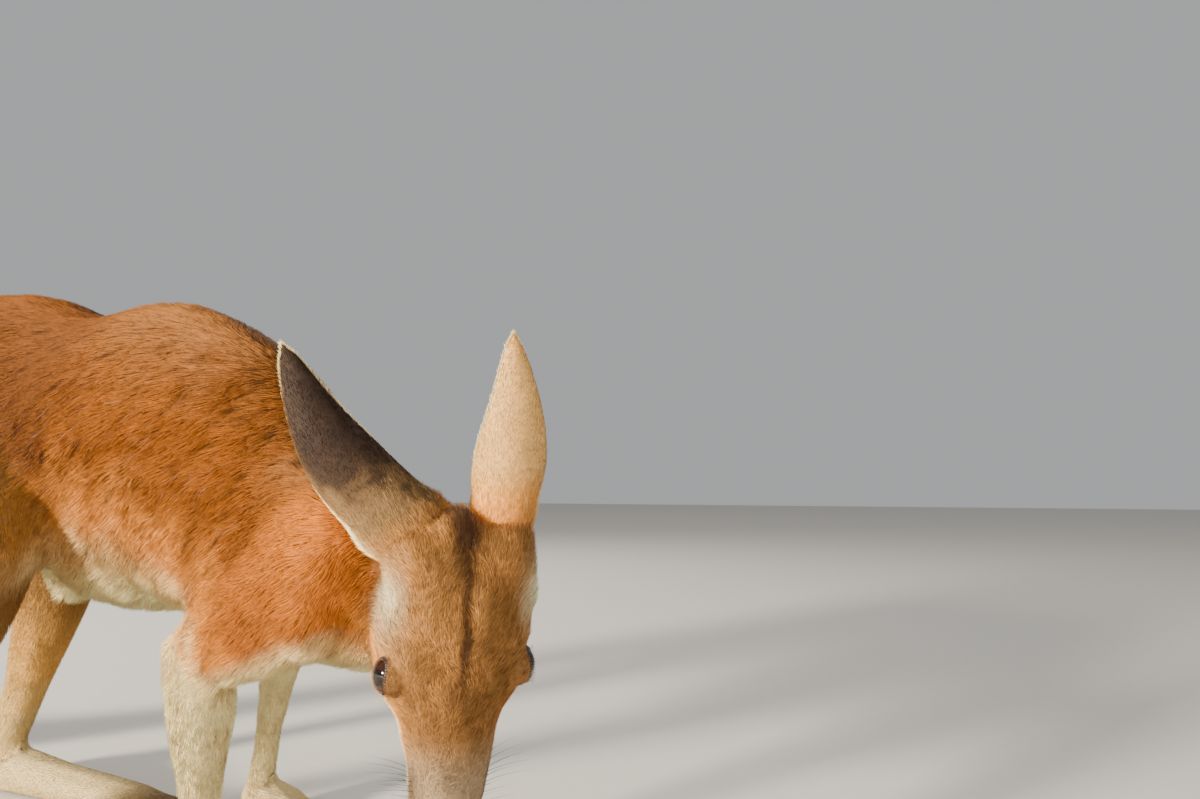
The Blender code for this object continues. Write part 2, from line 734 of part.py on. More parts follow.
def drop_crumbs(obj):
    """Keeps only the largest piece that hangs together."""
    groups = loose_groups(obj.data)
    if len(groups) > 1:
        kept = only_group(obj, groups[0], "kept")
        obj.data = kept.data
        bpy.data.objects.remove(kept, do_unlink=True)


# ---- the whole form ---------------------------------------------------------------------------
def grow_flesh():
    """All the flesh as one smooth closed form, thinned to its triangle budget."""
    bm = bmesh.new()
    add_trunk(bm)
    add_head(bm)
    add_hind_leg(bm, "right", TOE_OUT_RIGHT)
    add_hind_leg(bm, "left", TOE_OUT_LEFT)
    add_foreleg(bm, "right")
    add_foreleg(bm, "left")
    flesh = object_from_bmesh("flesh", bm)
    remesh = flesh.modifiers.new("grow", "REMESH")
    remesh.mode = "VOXEL"
    remesh.voxel_size = VOXEL
    smooth = flesh.modifiers.new("smooth", "SMOOTH")
    smooth.factor = 0.5
    smooth.iterations = SMOOTH_PASSES
    bake(flesh)
    thin = flesh.modifiers.new("thin", "DECIMATE")
    thin.ratio = FLESH_TRIANGLES / (2 * len(flesh.data.polygons))
    bake(flesh)
    return flesh


def socket_cutter():
    """Claws, eyes and the tops of the ears' stubs, each with the gap round it."""
    bm = bmesh.new()
    for _, start, along, length, thick in claw_list():
        claw_mesh(bm, start - along * GAP * 2, along, length + GAP * 4, thick + GAP * 1.4)
    for sign in (1, -1):
        ball(bm, eye_centre(sign), (EYE_RADIUS + GAP * 1.3,) * 3, segments=14)
    return object_from_bmesh("sockets", bm)


def stub_block(side):
    """A block over the ear's stub, whose lower face is the ear's seat."""
    root, tip = EAR_ROOT[side], EAR_TIP[side]
    axis = (tip - root)
    height = 0.060
    _, back, _ = ear_frame(side)
    seat = root + axis * EAR_SEAT - axis.normalized() * GAP - back * 0.006
    turn = axis.normalized().to_track_quat("Z", "Y").to_matrix().to_4x4()
    bm = bmesh.new()
    bmesh.ops.create_cone(bm, cap_ends=True, segments=24, radius1=0.025, radius2=0.025, depth=height,
                          matrix=Matrix.Translation(seat + axis.normalized() * height / 2) @ turn)
    return object_from_bmesh("stub_block", bm)


def build_flesh():
    """The flesh nodes, parted and named, as a list."""
    flesh = grow_flesh()
    slice_at(flesh, Vector((0, 0, 0)), Vector((0, 0, 1)))
    subtract(flesh, socket_cutter())
    for side in ("right", "left"):
        subtract(flesh, stub_block(side))
    nodes = []
    for side in ("right", "left"):
        nodes.append(take_out(flesh, f"thigh_{side}", thigh_volume, side))
        nodes.append(take_out(flesh, f"upper_arm_{side}", upper_arm_volume, side))
    for side in ("right", "left"):
        knee, ankle = Vector(KNEE[side]), Vector(ANKLE[side])
        elbow, wrist = Vector(ELBOW[side]), Vector(WRIST[side])
        shin = loose_nearest(flesh, f"shin_{side}", between(knee, ankle, 0.95))
        above_ankle = Plane(between(knee, ankle, 0.84), Vector((0, 0.15, -1)))
        nodes.append(part_off(shin, f"foot_{side}", above_ankle))
        forearm = loose_nearest(flesh, f"forearm_{side}", between(elbow, wrist, 0.8))
        nodes.append(part_off(forearm, f"hand_{side}", Plane(between(elbow, wrist, 0.88), wrist - elbow)))
        nodes += [shin, forearm]
    for name, plane in body_planes():
        nodes.append(part_off(flesh, name, plane))
    flesh.name = "rump"
    nodes.append(flesh)
    for node in nodes:
        drop_crumbs(node)
        node.data.name = node.name
        add_material(node, node.name, FLESH_COLOURS.get(node.name.split("_")[0], RUFOUS), 0.9)
    return nodes


def build_claws():
    """All the claws, each its own object."""
    for name, start, along, length, thick in claw_list():
        bm = bmesh.new()
        claw_mesh(bm, start, along, length, thick)
        add_material(object_from_bmesh(name, bm), name, HORN, 0.45)


def build_eyes():
    """Both eyeballs."""
    for side, sign in (("right", 1), ("left", -1)):
        bm = bmesh.new()
        ball(bm, eye_centre(sign), (EYE_RADIUS,) * 3, segments=14)
        add_material(object_from_bmesh(f"eye_{side}", bm), f"eye_{side}", EYE_BROWN, 0.08)


def settle():
    """Moves every node so that the middle of the model's floor outline is the origin."""
    corners = [vert.co for obj in bpy.data.objects for vert in obj.data.vertices]
    low = Vector([min(c[axis] for c in corners) for axis in range(3)])
    high = Vector([max(c[axis] for c in corners) for axis in range(3)])
    shift = Vector((-(low.x + high.x) / 2, -(low.y + high.y) / 2, -low.z))
    for obj in bpy.data.objects:
        obj.data.transform(Matrix.Translation(shift))
    return shift


def main():
    """Builds every node; returns how far the model was moved to its origin."""
    clear_scene()
    build_flesh()
    build_claws()
    build_eyes()
    for side in ("right", "left"):
        add_material(ear_mesh(side), f"ear_{side}", GREY_BROWN, 0.9)
    return settle()


if __name__ == "__main__":
    main()
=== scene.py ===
"""The looks of the red kangaroo that feeds on all fours: skin, coat, ears, eyes, claws and whiskers.

The skin is one closed form grown over the flesh nodes and drawn in by the depth of the coat.  The
coat is made of thin tufts that stand on the skin, follow its lie and carry the same markings.
Metres, +Z up.  The animal faces -Y and its right side is -X.
"""

import logging
import math
from collections.abc import Callable
from dataclasses import dataclass, field
from enum import Enum

import bmesh
import bpy
import numpy as np
from mathutils import Matrix, Vector
from mathutils.kdtree import KDTree


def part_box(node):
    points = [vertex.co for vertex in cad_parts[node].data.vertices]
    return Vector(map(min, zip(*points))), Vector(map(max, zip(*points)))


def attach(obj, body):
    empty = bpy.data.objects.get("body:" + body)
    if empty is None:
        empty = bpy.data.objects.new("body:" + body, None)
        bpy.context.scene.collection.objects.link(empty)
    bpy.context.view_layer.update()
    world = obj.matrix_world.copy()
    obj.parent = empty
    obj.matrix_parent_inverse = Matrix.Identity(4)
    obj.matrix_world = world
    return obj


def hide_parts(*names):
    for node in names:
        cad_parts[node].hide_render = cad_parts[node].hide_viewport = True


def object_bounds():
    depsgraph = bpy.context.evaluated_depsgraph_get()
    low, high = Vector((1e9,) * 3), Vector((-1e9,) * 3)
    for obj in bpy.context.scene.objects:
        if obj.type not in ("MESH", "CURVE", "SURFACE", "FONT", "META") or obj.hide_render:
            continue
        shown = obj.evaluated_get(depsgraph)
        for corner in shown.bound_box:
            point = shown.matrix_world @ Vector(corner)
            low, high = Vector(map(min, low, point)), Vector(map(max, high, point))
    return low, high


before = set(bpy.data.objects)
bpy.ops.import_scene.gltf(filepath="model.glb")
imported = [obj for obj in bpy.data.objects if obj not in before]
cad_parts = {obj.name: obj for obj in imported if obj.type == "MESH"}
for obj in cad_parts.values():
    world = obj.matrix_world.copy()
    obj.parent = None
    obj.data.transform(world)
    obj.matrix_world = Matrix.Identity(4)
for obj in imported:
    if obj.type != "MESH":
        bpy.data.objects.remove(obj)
CAD_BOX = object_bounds()

LOG = logging.getLogger("kangaroo")
MM = 0.001
BODY = "root"
SEED = 20260

SKIN_GRAIN = 5.95 * MM          # edge of the form that closes the cuts between the nodes
HAND_GRAIN = 2.2 * MM           # finer where digits lie side by side
FOOT_GRAIN = 3.0 * MM
DOUBLES = 0.005 * MM            # corners closer than this are one corner
COLOUR_NAME = "coat_colour"
BARE_NAME = "bare"
PUPIL_NAME = "from_pupil"
BAKE_MAP = "OFBake"
BAKE_PATCH = 0.003              # the edge of each tuft's patch on the bake map
# painted shade: the skin and the ear shells take the coat's markings darkened, as the coat over them
# shades them
SKIN_PAINTED_SHADE = 0.62               # the skin under the coat is darker than the coat's tips
EAR_SKIN_PAINTED_SHADE = 0.80
ROOTS_OFFERED = 1.6             # for each square of the spacing, which then thins them out
POISSON_ROOM = 1.15             # skin area for each root, in squares of the spacing

Array = np.ndarray


class Side(Enum):
    """The animal's own right and left."""

    RIGHT = "right"
    LEFT = "left"

    @property
    def outward(self) -> float:
        """The sign of X on this side."""
        return -1.0 if self is Side.RIGHT else 1.0


# ---- small helpers ----------------------------------------------------------------------------
def linear(hex_colour: str) -> Array:
    """Turns an sRGB hex colour into linear light.

    Args:
        hex_colour: six hex digits with or without a leading hash sign.

    Returns:
        Three numbers from 0 to 1.
    """
    digits = hex_colour.lstrip("#")
    parts = np.array([int(digits[i:i + 2], 16) / 255 for i in (0, 2, 4)])
    return np.where(parts <= 0.04045, parts / 12.92, ((parts + 0.055) / 1.055) ** 2.4)


def smooth_step(low: float, high: float, value: Array) -> Array:
    """A soft ramp from 0 at low to 1 at high.

    Args:
        low: where the ramp starts.
        high: where it ends; it may lie below low.
        value: the numbers to ramp.

    Returns:
        Numbers from 0 to 1.
    """
    share = np.clip((value - low) / (high - low), 0, 1)
    return share * share * (3 - 2 * share)


def unit(rows: Array) -> Array:
    """Rows scaled to length one."""
    return rows / np.maximum(np.linalg.norm(rows, axis=-1, keepdims=True), 1e-9)


def along_surface(rows: Array, normals: Array) -> Array:
    """Directions laid flat on a surface with the given normals."""
    return unit(rows - (rows * normals).sum(1)[:, None] * normals)


def mix(base: Array, other: Array, share: Array) -> Array:
    """Rows of base moved towards other by share."""
    return base + (other - base) * share[:, None]


def hill(*slopes: tuple[Array, float, float]) -> Array:
    """A smooth hill: 1 where every value is at its centre, less by how many widths it is off.

    Args:
        slopes: values, each with its centre and its width.

    Returns:
        Numbers from 0 to 1.
    """
    return np.exp(-sum(((value - centre) / width) ** 2 for value, centre, width in slopes))


def new_object(name: str, data: bpy.types.ID) -> bpy.types.Object:
    """Links a mesh, camera or light to the scene as an object at the origin."""
    obj = bpy.data.objects.new(name, data)
    bpy.context.scene.collection.objects.link(obj)
    return obj


def drop(obj: bpy.types.Object) -> None:
    """Removes a helper object."""
    bpy.data.objects.remove(obj, do_unlink=True)


def baked(obj: bpy.types.Object) -> bpy.types.Mesh:
    """The mesh of an object with its modifiers applied.

    Args:
        obj: the object to evaluate.

    Returns:
        A mesh of its own.
    """
    depsgraph = bpy.context.evaluated_depsgraph_get()
    return bpy.data.meshes.new_from_object(obj.evaluated_get(depsgraph))


def read_rows(store: bpy.types.bpy_prop_collection, key: str, width: int = 3) -> Array:
    """The numbers that every item of a mesh collection holds, one row each."""
    flat = np.empty(len(store) * width, np.float32)
    store.foreach_get(key, flat)
    return flat.reshape(-1, width).astype(float)


def corners_of(mesh: bpy.types.Mesh) -> Array:
    """Every corner of a mesh, one row each."""
    return read_rows(mesh.vertices, "co")


def set_corners(mesh: bpy.types.Mesh, corners: Array) -> None:
    """Moves every corner of a mesh."""
    mesh.vertices.foreach_set("co", corners.astype(np.float32).ravel())
    mesh.update()


def normals_of(mesh: bpy.types.Mesh) -> Array:
    """The normal at every corner of a mesh."""
    return read_rows(mesh.vertex_normals, "vector")


def store_colour(mesh: bpy.types.Mesh, colours: Array) -> None:
    """Stores a colour for every corner of a mesh.

    Args:
        mesh: the mesh that gets the attribute.
        colours: linear red, green and blue, one row a corner.
    """
    rows = np.ones((len(mesh.vertices), 4), np.float32)
    rows[:, :3] = np.clip(colours, 0, 1)
    layer = mesh.color_attributes.new(COLOUR_NAME, "FLOAT_COLOR", "POINT")
    layer.data.foreach_set("color", rows.ravel())


def store_number(mesh: bpy.types.Mesh, name: str, values: Array) -> None:
    """Stores a number for every corner of a mesh."""
    layer = mesh.attributes.new(name, "FLOAT", "POINT")
    layer.data.foreach_set("value", values.astype(np.float32))


def read_number(mesh: bpy.types.Mesh, name: str) -> Array:
    """The number stored for every corner of a mesh."""
    return read_rows(mesh.attributes[name].data, "value", 1)[:, 0]


def mesh_of(form: bmesh.types.BMesh, name: str) -> bpy.types.Mesh:
    """Turns a form into a mesh and frees the form."""
    mesh = bpy.data.meshes.new(name)
    form.to_mesh(mesh)
    form.free()
    return mesh


def turn_faces_out(mesh: bpy.types.Mesh) -> None:
    """Makes every face of a closed mesh look outwards, shaded smooth."""
    form = bmesh.new()
    form.from_mesh(mesh)
    bmesh.ops.recalc_face_normals(form, faces=form.faces)
    form.to_mesh(mesh)
    form.free()
    mesh.shade_smooth()


def nearest_of(sites: Array, points: Array) -> Array:
    """The number of the site that lies nearest to each point."""
    tree = KDTree(len(sites))
    for order, site in enumerate(sites):
        tree.insert(site, order)
    tree.balance()
    return np.array([tree.find(point)[1] for point in points])


def mesh_from(name: str, corners: Array, faces: Array) -> bpy.types.Mesh:
    """Builds a mesh whose faces all have the same number of corners.

    Args:
        name: the mesh's name.
        corners: one row a corner.
        faces: corner indices, one row a face.

    Returns:
        The new mesh, shaded smooth.
    """
    mesh = bpy.data.meshes.new(name)
    count, size = faces.shape
    mesh.vertices.add(len(corners))
    mesh.vertices.foreach_set("co", corners.astype(np.float32).ravel())
    mesh.loops.add(count * size)
    mesh.loops.foreach_set("vertex_index", faces.astype(np.int32).ravel())
    mesh.polygons.add(count)
    mesh.polygons.foreach_set("loop_start", np.arange(0, count * size, size, dtype=np.int32))
    mesh.update(calc_edges=True)
    mesh.shade_smooth()
    return mesh


def add_node(tree: bpy.types.NodeTree, kind: str, settings: dict | None = None,
             links: dict | None = None) -> bpy.types.Node:
    """Adds a node with its settings and links.

    Args:
        tree: the tree that gets the node.
        kind: the node's type name.
        settings: properties, or values of input sockets by name or number.
        links: output sockets to join, by input name or number.

    Returns:
        The new node.
    """
    node = tree.nodes.new(kind)
    for key, value in (settings or {}).items():
        if isinstance(key, str) and hasattr(node, key):
            setattr(node, key, value)
        else:
            node.inputs[key].default_value = value
    for key, socket in (links or {}).items():
        tree.links.new(socket, node.inputs[key])
    return node


# ---- where the body's parts lie ---------------------------------------------------------------
HEAD_YAW = math.radians(44)
HEAD_LENGTH = 206 * MM
MUZZLE_SWING = 0.10
OCCIPUT = Vector((-0.060, -0.587, 0.322))
EYE_ALONG = 0.455
EYE_ASIDE = 37.5 * MM
EYE_OUT = 13.5 * MM
EYE_RADIUS = 12.5 * MM
SIGNS = (1, -1)                 # of the animal's right and left in the head's own axes

FACE_OUT = Vector((-math.sin(HEAD_YAW), -math.cos(HEAD_YAW), 0.0))
HEAD_RIGHT = Vector((-math.cos(HEAD_YAW), math.sin(HEAD_YAW), 0.0))
HEAD_DOWN = (Vector((0, 0, -1)) - MUZZLE_SWING * FACE_OUT).normalized()
FOREHEAD = HEAD_RIGHT.cross(HEAD_DOWN).normalized()
if FOREHEAD.dot(FACE_OUT) < 0:
    FOREHEAD = -FOREHEAD


def box_middle(node: str) -> Vector:
    """The middle of a CAD node's box."""
    low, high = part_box(node)
    return (low + high) / 2


def plan_head_point(along: float, right: float, out: float) -> Vector:
    """A point in the head's own axes, on the plan that the joints below are given in."""
    return OCCIPUT + HEAD_DOWN * (along * HEAD_LENGTH) + HEAD_RIGHT * right + FOREHEAD * out


EYES_MIDDLE = (box_middle("eye_right") + box_middle("eye_left")) / 2
OFFSET = EYES_MIDDLE - plan_head_point(EYE_ALONG, 0.0, EYE_OUT)     # from the plan to the frame


def placed(x: float, y: float, z: float) -> Vector:
    """A point of the plan, in the frame."""
    return Vector((x, y, z)) + OFFSET


def head_point(along: float, right: float, out: float) -> Vector:
    """A point in the head's own axes, in the frame."""
    return plan_head_point(along, right, out) + OFFSET


def head_rows(points: Array) -> tuple[Array, Array, Array]:
    """Points in the head's own axes.

    Args:
        points: rows in the frame.

    Returns:
        The fraction along the head, the distance to its right and the distance outwards.
    """
    away = points - np.array(OCCIPUT + OFFSET)
    return (away @ np.array(HEAD_DOWN) / HEAD_LENGTH, away @ np.array(HEAD_RIGHT),
            away @ np.array(FOREHEAD))


HIP = {Side.RIGHT: (-0.066, 0.004, 0.425), Side.LEFT: (0.060, 0.048, 0.414)}
KNEE = {Side.RIGHT: (-0.120, -0.212, 0.303), Side.LEFT: (0.080, 0.008, 0.285)}
ANKLE = {Side.RIGHT: (-0.090, 0.004, 0.048), Side.LEFT: (0.084, 0.118, 0.048)}
SHOULDER = {Side.RIGHT: (-0.074, -0.484, 0.280), Side.LEFT: (0.072, -0.455, 0.285)}
ELBOW = {Side.RIGHT: (-0.063, -0.366, 0.218), Side.LEFT: (0.124, -0.262, 0.232)}
WRIST = {Side.RIGHT: (-0.050, -0.361, 0.036), Side.LEFT: (0.148, -0.208, 0.036)}
EAR_ROOT = {Side.RIGHT: (-0.080, -0.573, 0.292), Side.LEFT: (-0.0395, -0.614, 0.298)}
EAR_TIP = {Side.RIGHT: (-0.145, -0.518, 0.424), Side.LEFT: (-0.0555, -0.624, 0.438)}
EAR_BOW = {Side.RIGHT: (-0.0050, 0.0070, -0.0040), Side.LEFT: (0.0022, -0.0050, 0.0)}
EAR_BACK_TURN = {Side.RIGHT: math.radians(-20), Side.LEFT: math.radians(14)}
EAR_SEAT = 0.15
TOE_OUT = {Side.RIGHT: math.radians(6), Side.LEFT: math.radians(5)}
HAND_OUT = {Side.RIGHT: math.radians(4), Side.LEFT: math.radians(22)}
FOOT_REACH = 0.265
HAND_REACH = 0.085
SAC_MIDDLE = placed(0.012, -0.098, 0.268)


class Region(Enum):
    """The stretches of coat, each a piece of its own."""

    HEAD = "head"
    NECK = "neck"
    CHEST = "chest"
    BELLY = "belly"
    LOIN = "loin"
    RUMP = "rump"
    THIGHS = "thighs"
    TAIL = "tail"
    ARMS = "arms"
    HANDS = "hands"
    SHINS = "shins"
    FEET = "feet"


@dataclass(frozen=True)
class Bone:
    """A straight stretch of the body: where it runs, how thick it is and how its coat grows."""

    name: str
    region: Region
    start: Vector
    end: Vector
    start_radius: float
    end_radius: float
    tuft_length: float
    coat_depth: float
    droop: tuple[float, float, float] = (0.0, 0.0, 0.0)     # bends the coat's lie off the bone


def ahead(side: Side, turn: dict[Side, float]) -> Vector:
    """The way a foot or hand points, level along the floor."""
    return Vector((side.outward * math.sin(turn[side]), -math.cos(turn[side]), 0.0))


def body_bones() -> list[Bone]:
    """All the bones that lead the coat, with the nose-to-tail line first.

    Returns:
        The bones in the frame's coordinates.
    """
    flank = (0.0, 0.05, -1.45)
    hips_lie = (0.0, 0.15, -0.85)
    occiput = head_point(0.05, 0, -0.005)
    brow = head_point(0.42, 0, -0.004)
    snout = head_point(0.70, 0, 0.0)
    nose = head_point(1.0, 0, 0.0)
    nape = placed(-0.031, -0.537, 0.261)
    behind_ears = head_point(0.05, 0, -0.005).lerp(nape, 0.5)
    withers = placed(-0.006, -0.430, 0.285)
    ribs = placed(0.001, -0.300, 0.356)
    loin = placed(0.008, -0.150, 0.398)
    hips = placed(0.001, 0.000, 0.431)
    croup = placed(0.0, 0.110, 0.392)
    back_of_head = tuple(-0.45 * FOREHEAD)
    bones = [
        Bone("muzzle", Region.HEAD, nose, snout, 0.018, 0.029, 3.6 * MM, 0.9 * MM),
        Bone("face", Region.HEAD, snout, brow, 0.029, 0.047, 5.5 * MM, 1.6 * MM),
        Bone("crown", Region.HEAD, brow, occiput, 0.047, 0.038, 7.5 * MM, 2.4 * MM, back_of_head),
        Bone("neck", Region.NECK, behind_ears, nape, 0.040, 0.052, 9 * MM, 3.0 * MM, (0, 0.5, -0.3)),
        Bone("shoulders", Region.CHEST, nape, withers, 0.052, 0.080, 11 * MM, 3.2 * MM, flank),
        Bone("ribs", Region.CHEST, withers, ribs, 0.080, 0.118, 12 * MM, 3.5 * MM, flank),
        Bone("belly", Region.BELLY, ribs, loin, 0.118, 0.112, 12 * MM, 3.5 * MM, flank),
        Bone("loin", Region.LOIN, loin, hips, 0.112, 0.103, 11.5 * MM, 3.4 * MM, hips_lie),
        Bone("croup", Region.RUMP, hips, croup, 0.103, 0.078, 11 * MM, 3.3 * MM, hips_lie),
    ]
    tail = ((0.0, 0.110, 0.392, 0.070), (0.0, 0.222, 0.255, 0.050), (0.0, 0.275, 0.170, 0.045),
            (0.001, 0.345, 0.092, 0.041), (0.003, 0.440, 0.047, 0.037), (0.016, 0.680, 0.027, 0.029),
            (0.038, 1.035, 0.010, 0.011))
    for (ax, ay, az, ar), (bx, by, bz, br) in zip(tail, tail[1:]):
        bones.append(Bone("tail", Region.TAIL, placed(ax, ay, az), placed(bx, by, bz), ar, br,
                          10 * MM, 3.0 * MM if ar > 0.03 else 2.2 * MM))
    for side in Side:
        bones += limb_bones(side)
    return bones


def limb_bones(side: Side) -> list[Bone]:
    """The bones of the fore and hind limb of one side."""
    hip, knee, ankle = placed(*HIP[side]), placed(*KNEE[side]), placed(*ANKLE[side])
    shoulder, elbow, wrist = placed(*SHOULDER[side]), placed(*ELBOW[side]), placed(*WRIST[side])
    toes = Vector((ankle.x, ankle.y, 0.012)) + ahead(side, TOE_OUT) * FOOT_REACH
    heel = Vector((ankle.x, ankle.y, 0.024)) - ahead(side, TOE_OUT) * 0.030
    fingers = Vector((wrist.x, wrist.y, 0.008)) + ahead(side, HAND_OUT) * HAND_REACH
    return [
        Bone(f"thigh_{side.value}", Region.THIGHS, hip, knee, 0.086, 0.042, 11 * MM, 3.3 * MM,
             (0, 0.25, -0.35)),
        Bone(f"shin_{side.value}", Region.SHINS, knee, ankle, 0.040, 0.021, 8.5 * MM, 2.6 * MM),
        Bone(f"foot_{side.value}", Region.FEET, heel, toes, 0.024, 0.015, 5.0 * MM, 1.1 * MM),
        Bone(f"arm_{side.value}", Region.ARMS, shoulder, elbow, 0.047, 0.029, 11 * MM, 3.6 * MM,
             (0, 0.15, -0.25)),
        Bone(f"forearm_{side.value}", Region.ARMS, elbow, wrist, 0.028, 0.017, 7.5 * MM, 2.2 * MM),
        Bone(f"hand_{side.value}", Region.HANDS, wrist, fingers, 0.019, 0.012, 4.2 * MM, 0.9 * MM),
    ]


class Anatomy:
    """The bones together, and what they say about any point of the surface."""

    def __init__(self) -> None:
        """Gathers the bones' numbers in arrays."""
        self.bones = body_bones()
        self.start = np.array([b.start for b in self.bones])
        self.run = np.array([b.end - b.start for b in self.bones])
        self.radius = np.array([(b.start_radius, b.end_radius) for b in self.bones])
        self.lie = unit(self.run) + np.array([b.droop for b in self.bones])
        self.tuft_length = np.array([b.tuft_length for b in self.bones])
        self.coat_depth = np.array([b.coat_depth for b in self.bones])

    def nearness(self, points: Array) -> tuple[Array, Array]:
        """How much each bone has to say at each point, and how far along the bone the point lies.

        Args:
            points: rows in the frame.

        Returns:
            Weights that sum to one, and fractions along each bone, both points by bones.
        """
        away = points[:, None, :] - self.start[None]
        share = (away * self.run[None]).sum(2) / (self.run ** 2).sum(1)[None]
        share = np.clip(share, 0, 1)
        gap = np.linalg.norm(away - share[..., None] * self.run[None], axis=2)
        radius = self.radius[:, 0] + (self.radius[:, 1] - self.radius[:, 0]) * share
        weight = (radius / np.maximum(gap, 1e-5)) ** 6
        return weight / weight.sum(1, keepdims=True), share

    def lie_at(self, weights: Array, normals: Array) -> Array:
        """The direction in which the coat lies, along the surface."""
        lie = weights @ self.lie
        return unit(lie - (lie * normals).sum(1)[:, None] * normals + 1e-6)


# ---- markings -----------------------------------------------------------------------------------
@dataclass(frozen=True)
class Palette:
    """The coat's colours, as sRGB hex."""

    back: str = "#7E5026"
    flank: str = "#84490C"
    low_flank: str = "#DC8A34"
    cream: str = "#FFE6A8"
    white: str = "#FFF0C4"
    forehead: str = "#A6733A"
    grizzle: str = "#6A4620"
    cheek: str = "#E89C4E"
    # dark median stripe; also used for the painted shade between the ears
    stripe: str = "#3A200C"
    muzzle: str = "#A98E6C"
    muzzle_dark: str = "#54422F"
    nape: str = "#6E4216"
    # darker brown at the haunch: partly the coat's own colour, partly painted shade
    haunch_and_shade: str = "#66390E"
    # the thigh's own brown, darkened further as painted shade
    thigh: str = "#6C4216"
    shin: str = "#F4BC66"
    arm: str = "#B4661A"
    hand: str = "#F2D79C"
    finger: str = "#957B58"
    foot: str = "#F2D79C"
    toe: str = "#8E7350"
    tail_top: str = "#8A5C2C"
    tail_low: str = "#D8B078"
    # the right ear's back, drawn dark as painted shade
    ear_back: str = "#402C1A"
    # painted shade on the upper part of the right ear's back
    ear_dark: str = "#24140A"
    ear_base: str = "#8E6E46"
    ear_inner: str = "#DCC6A2"
    ear_bare: str = "#B98A72"
    # the left ear's back, drawn pale as painted light
    ear_pale: str = "#DCAA64"
    ear_orange: str = "#FFAE50"
    lid: str = "#4A3528"
    naked: str = "#3A2C26"


TRUNK_BONES = ("shoulders", "ribs", "belly", "loin", "croup")


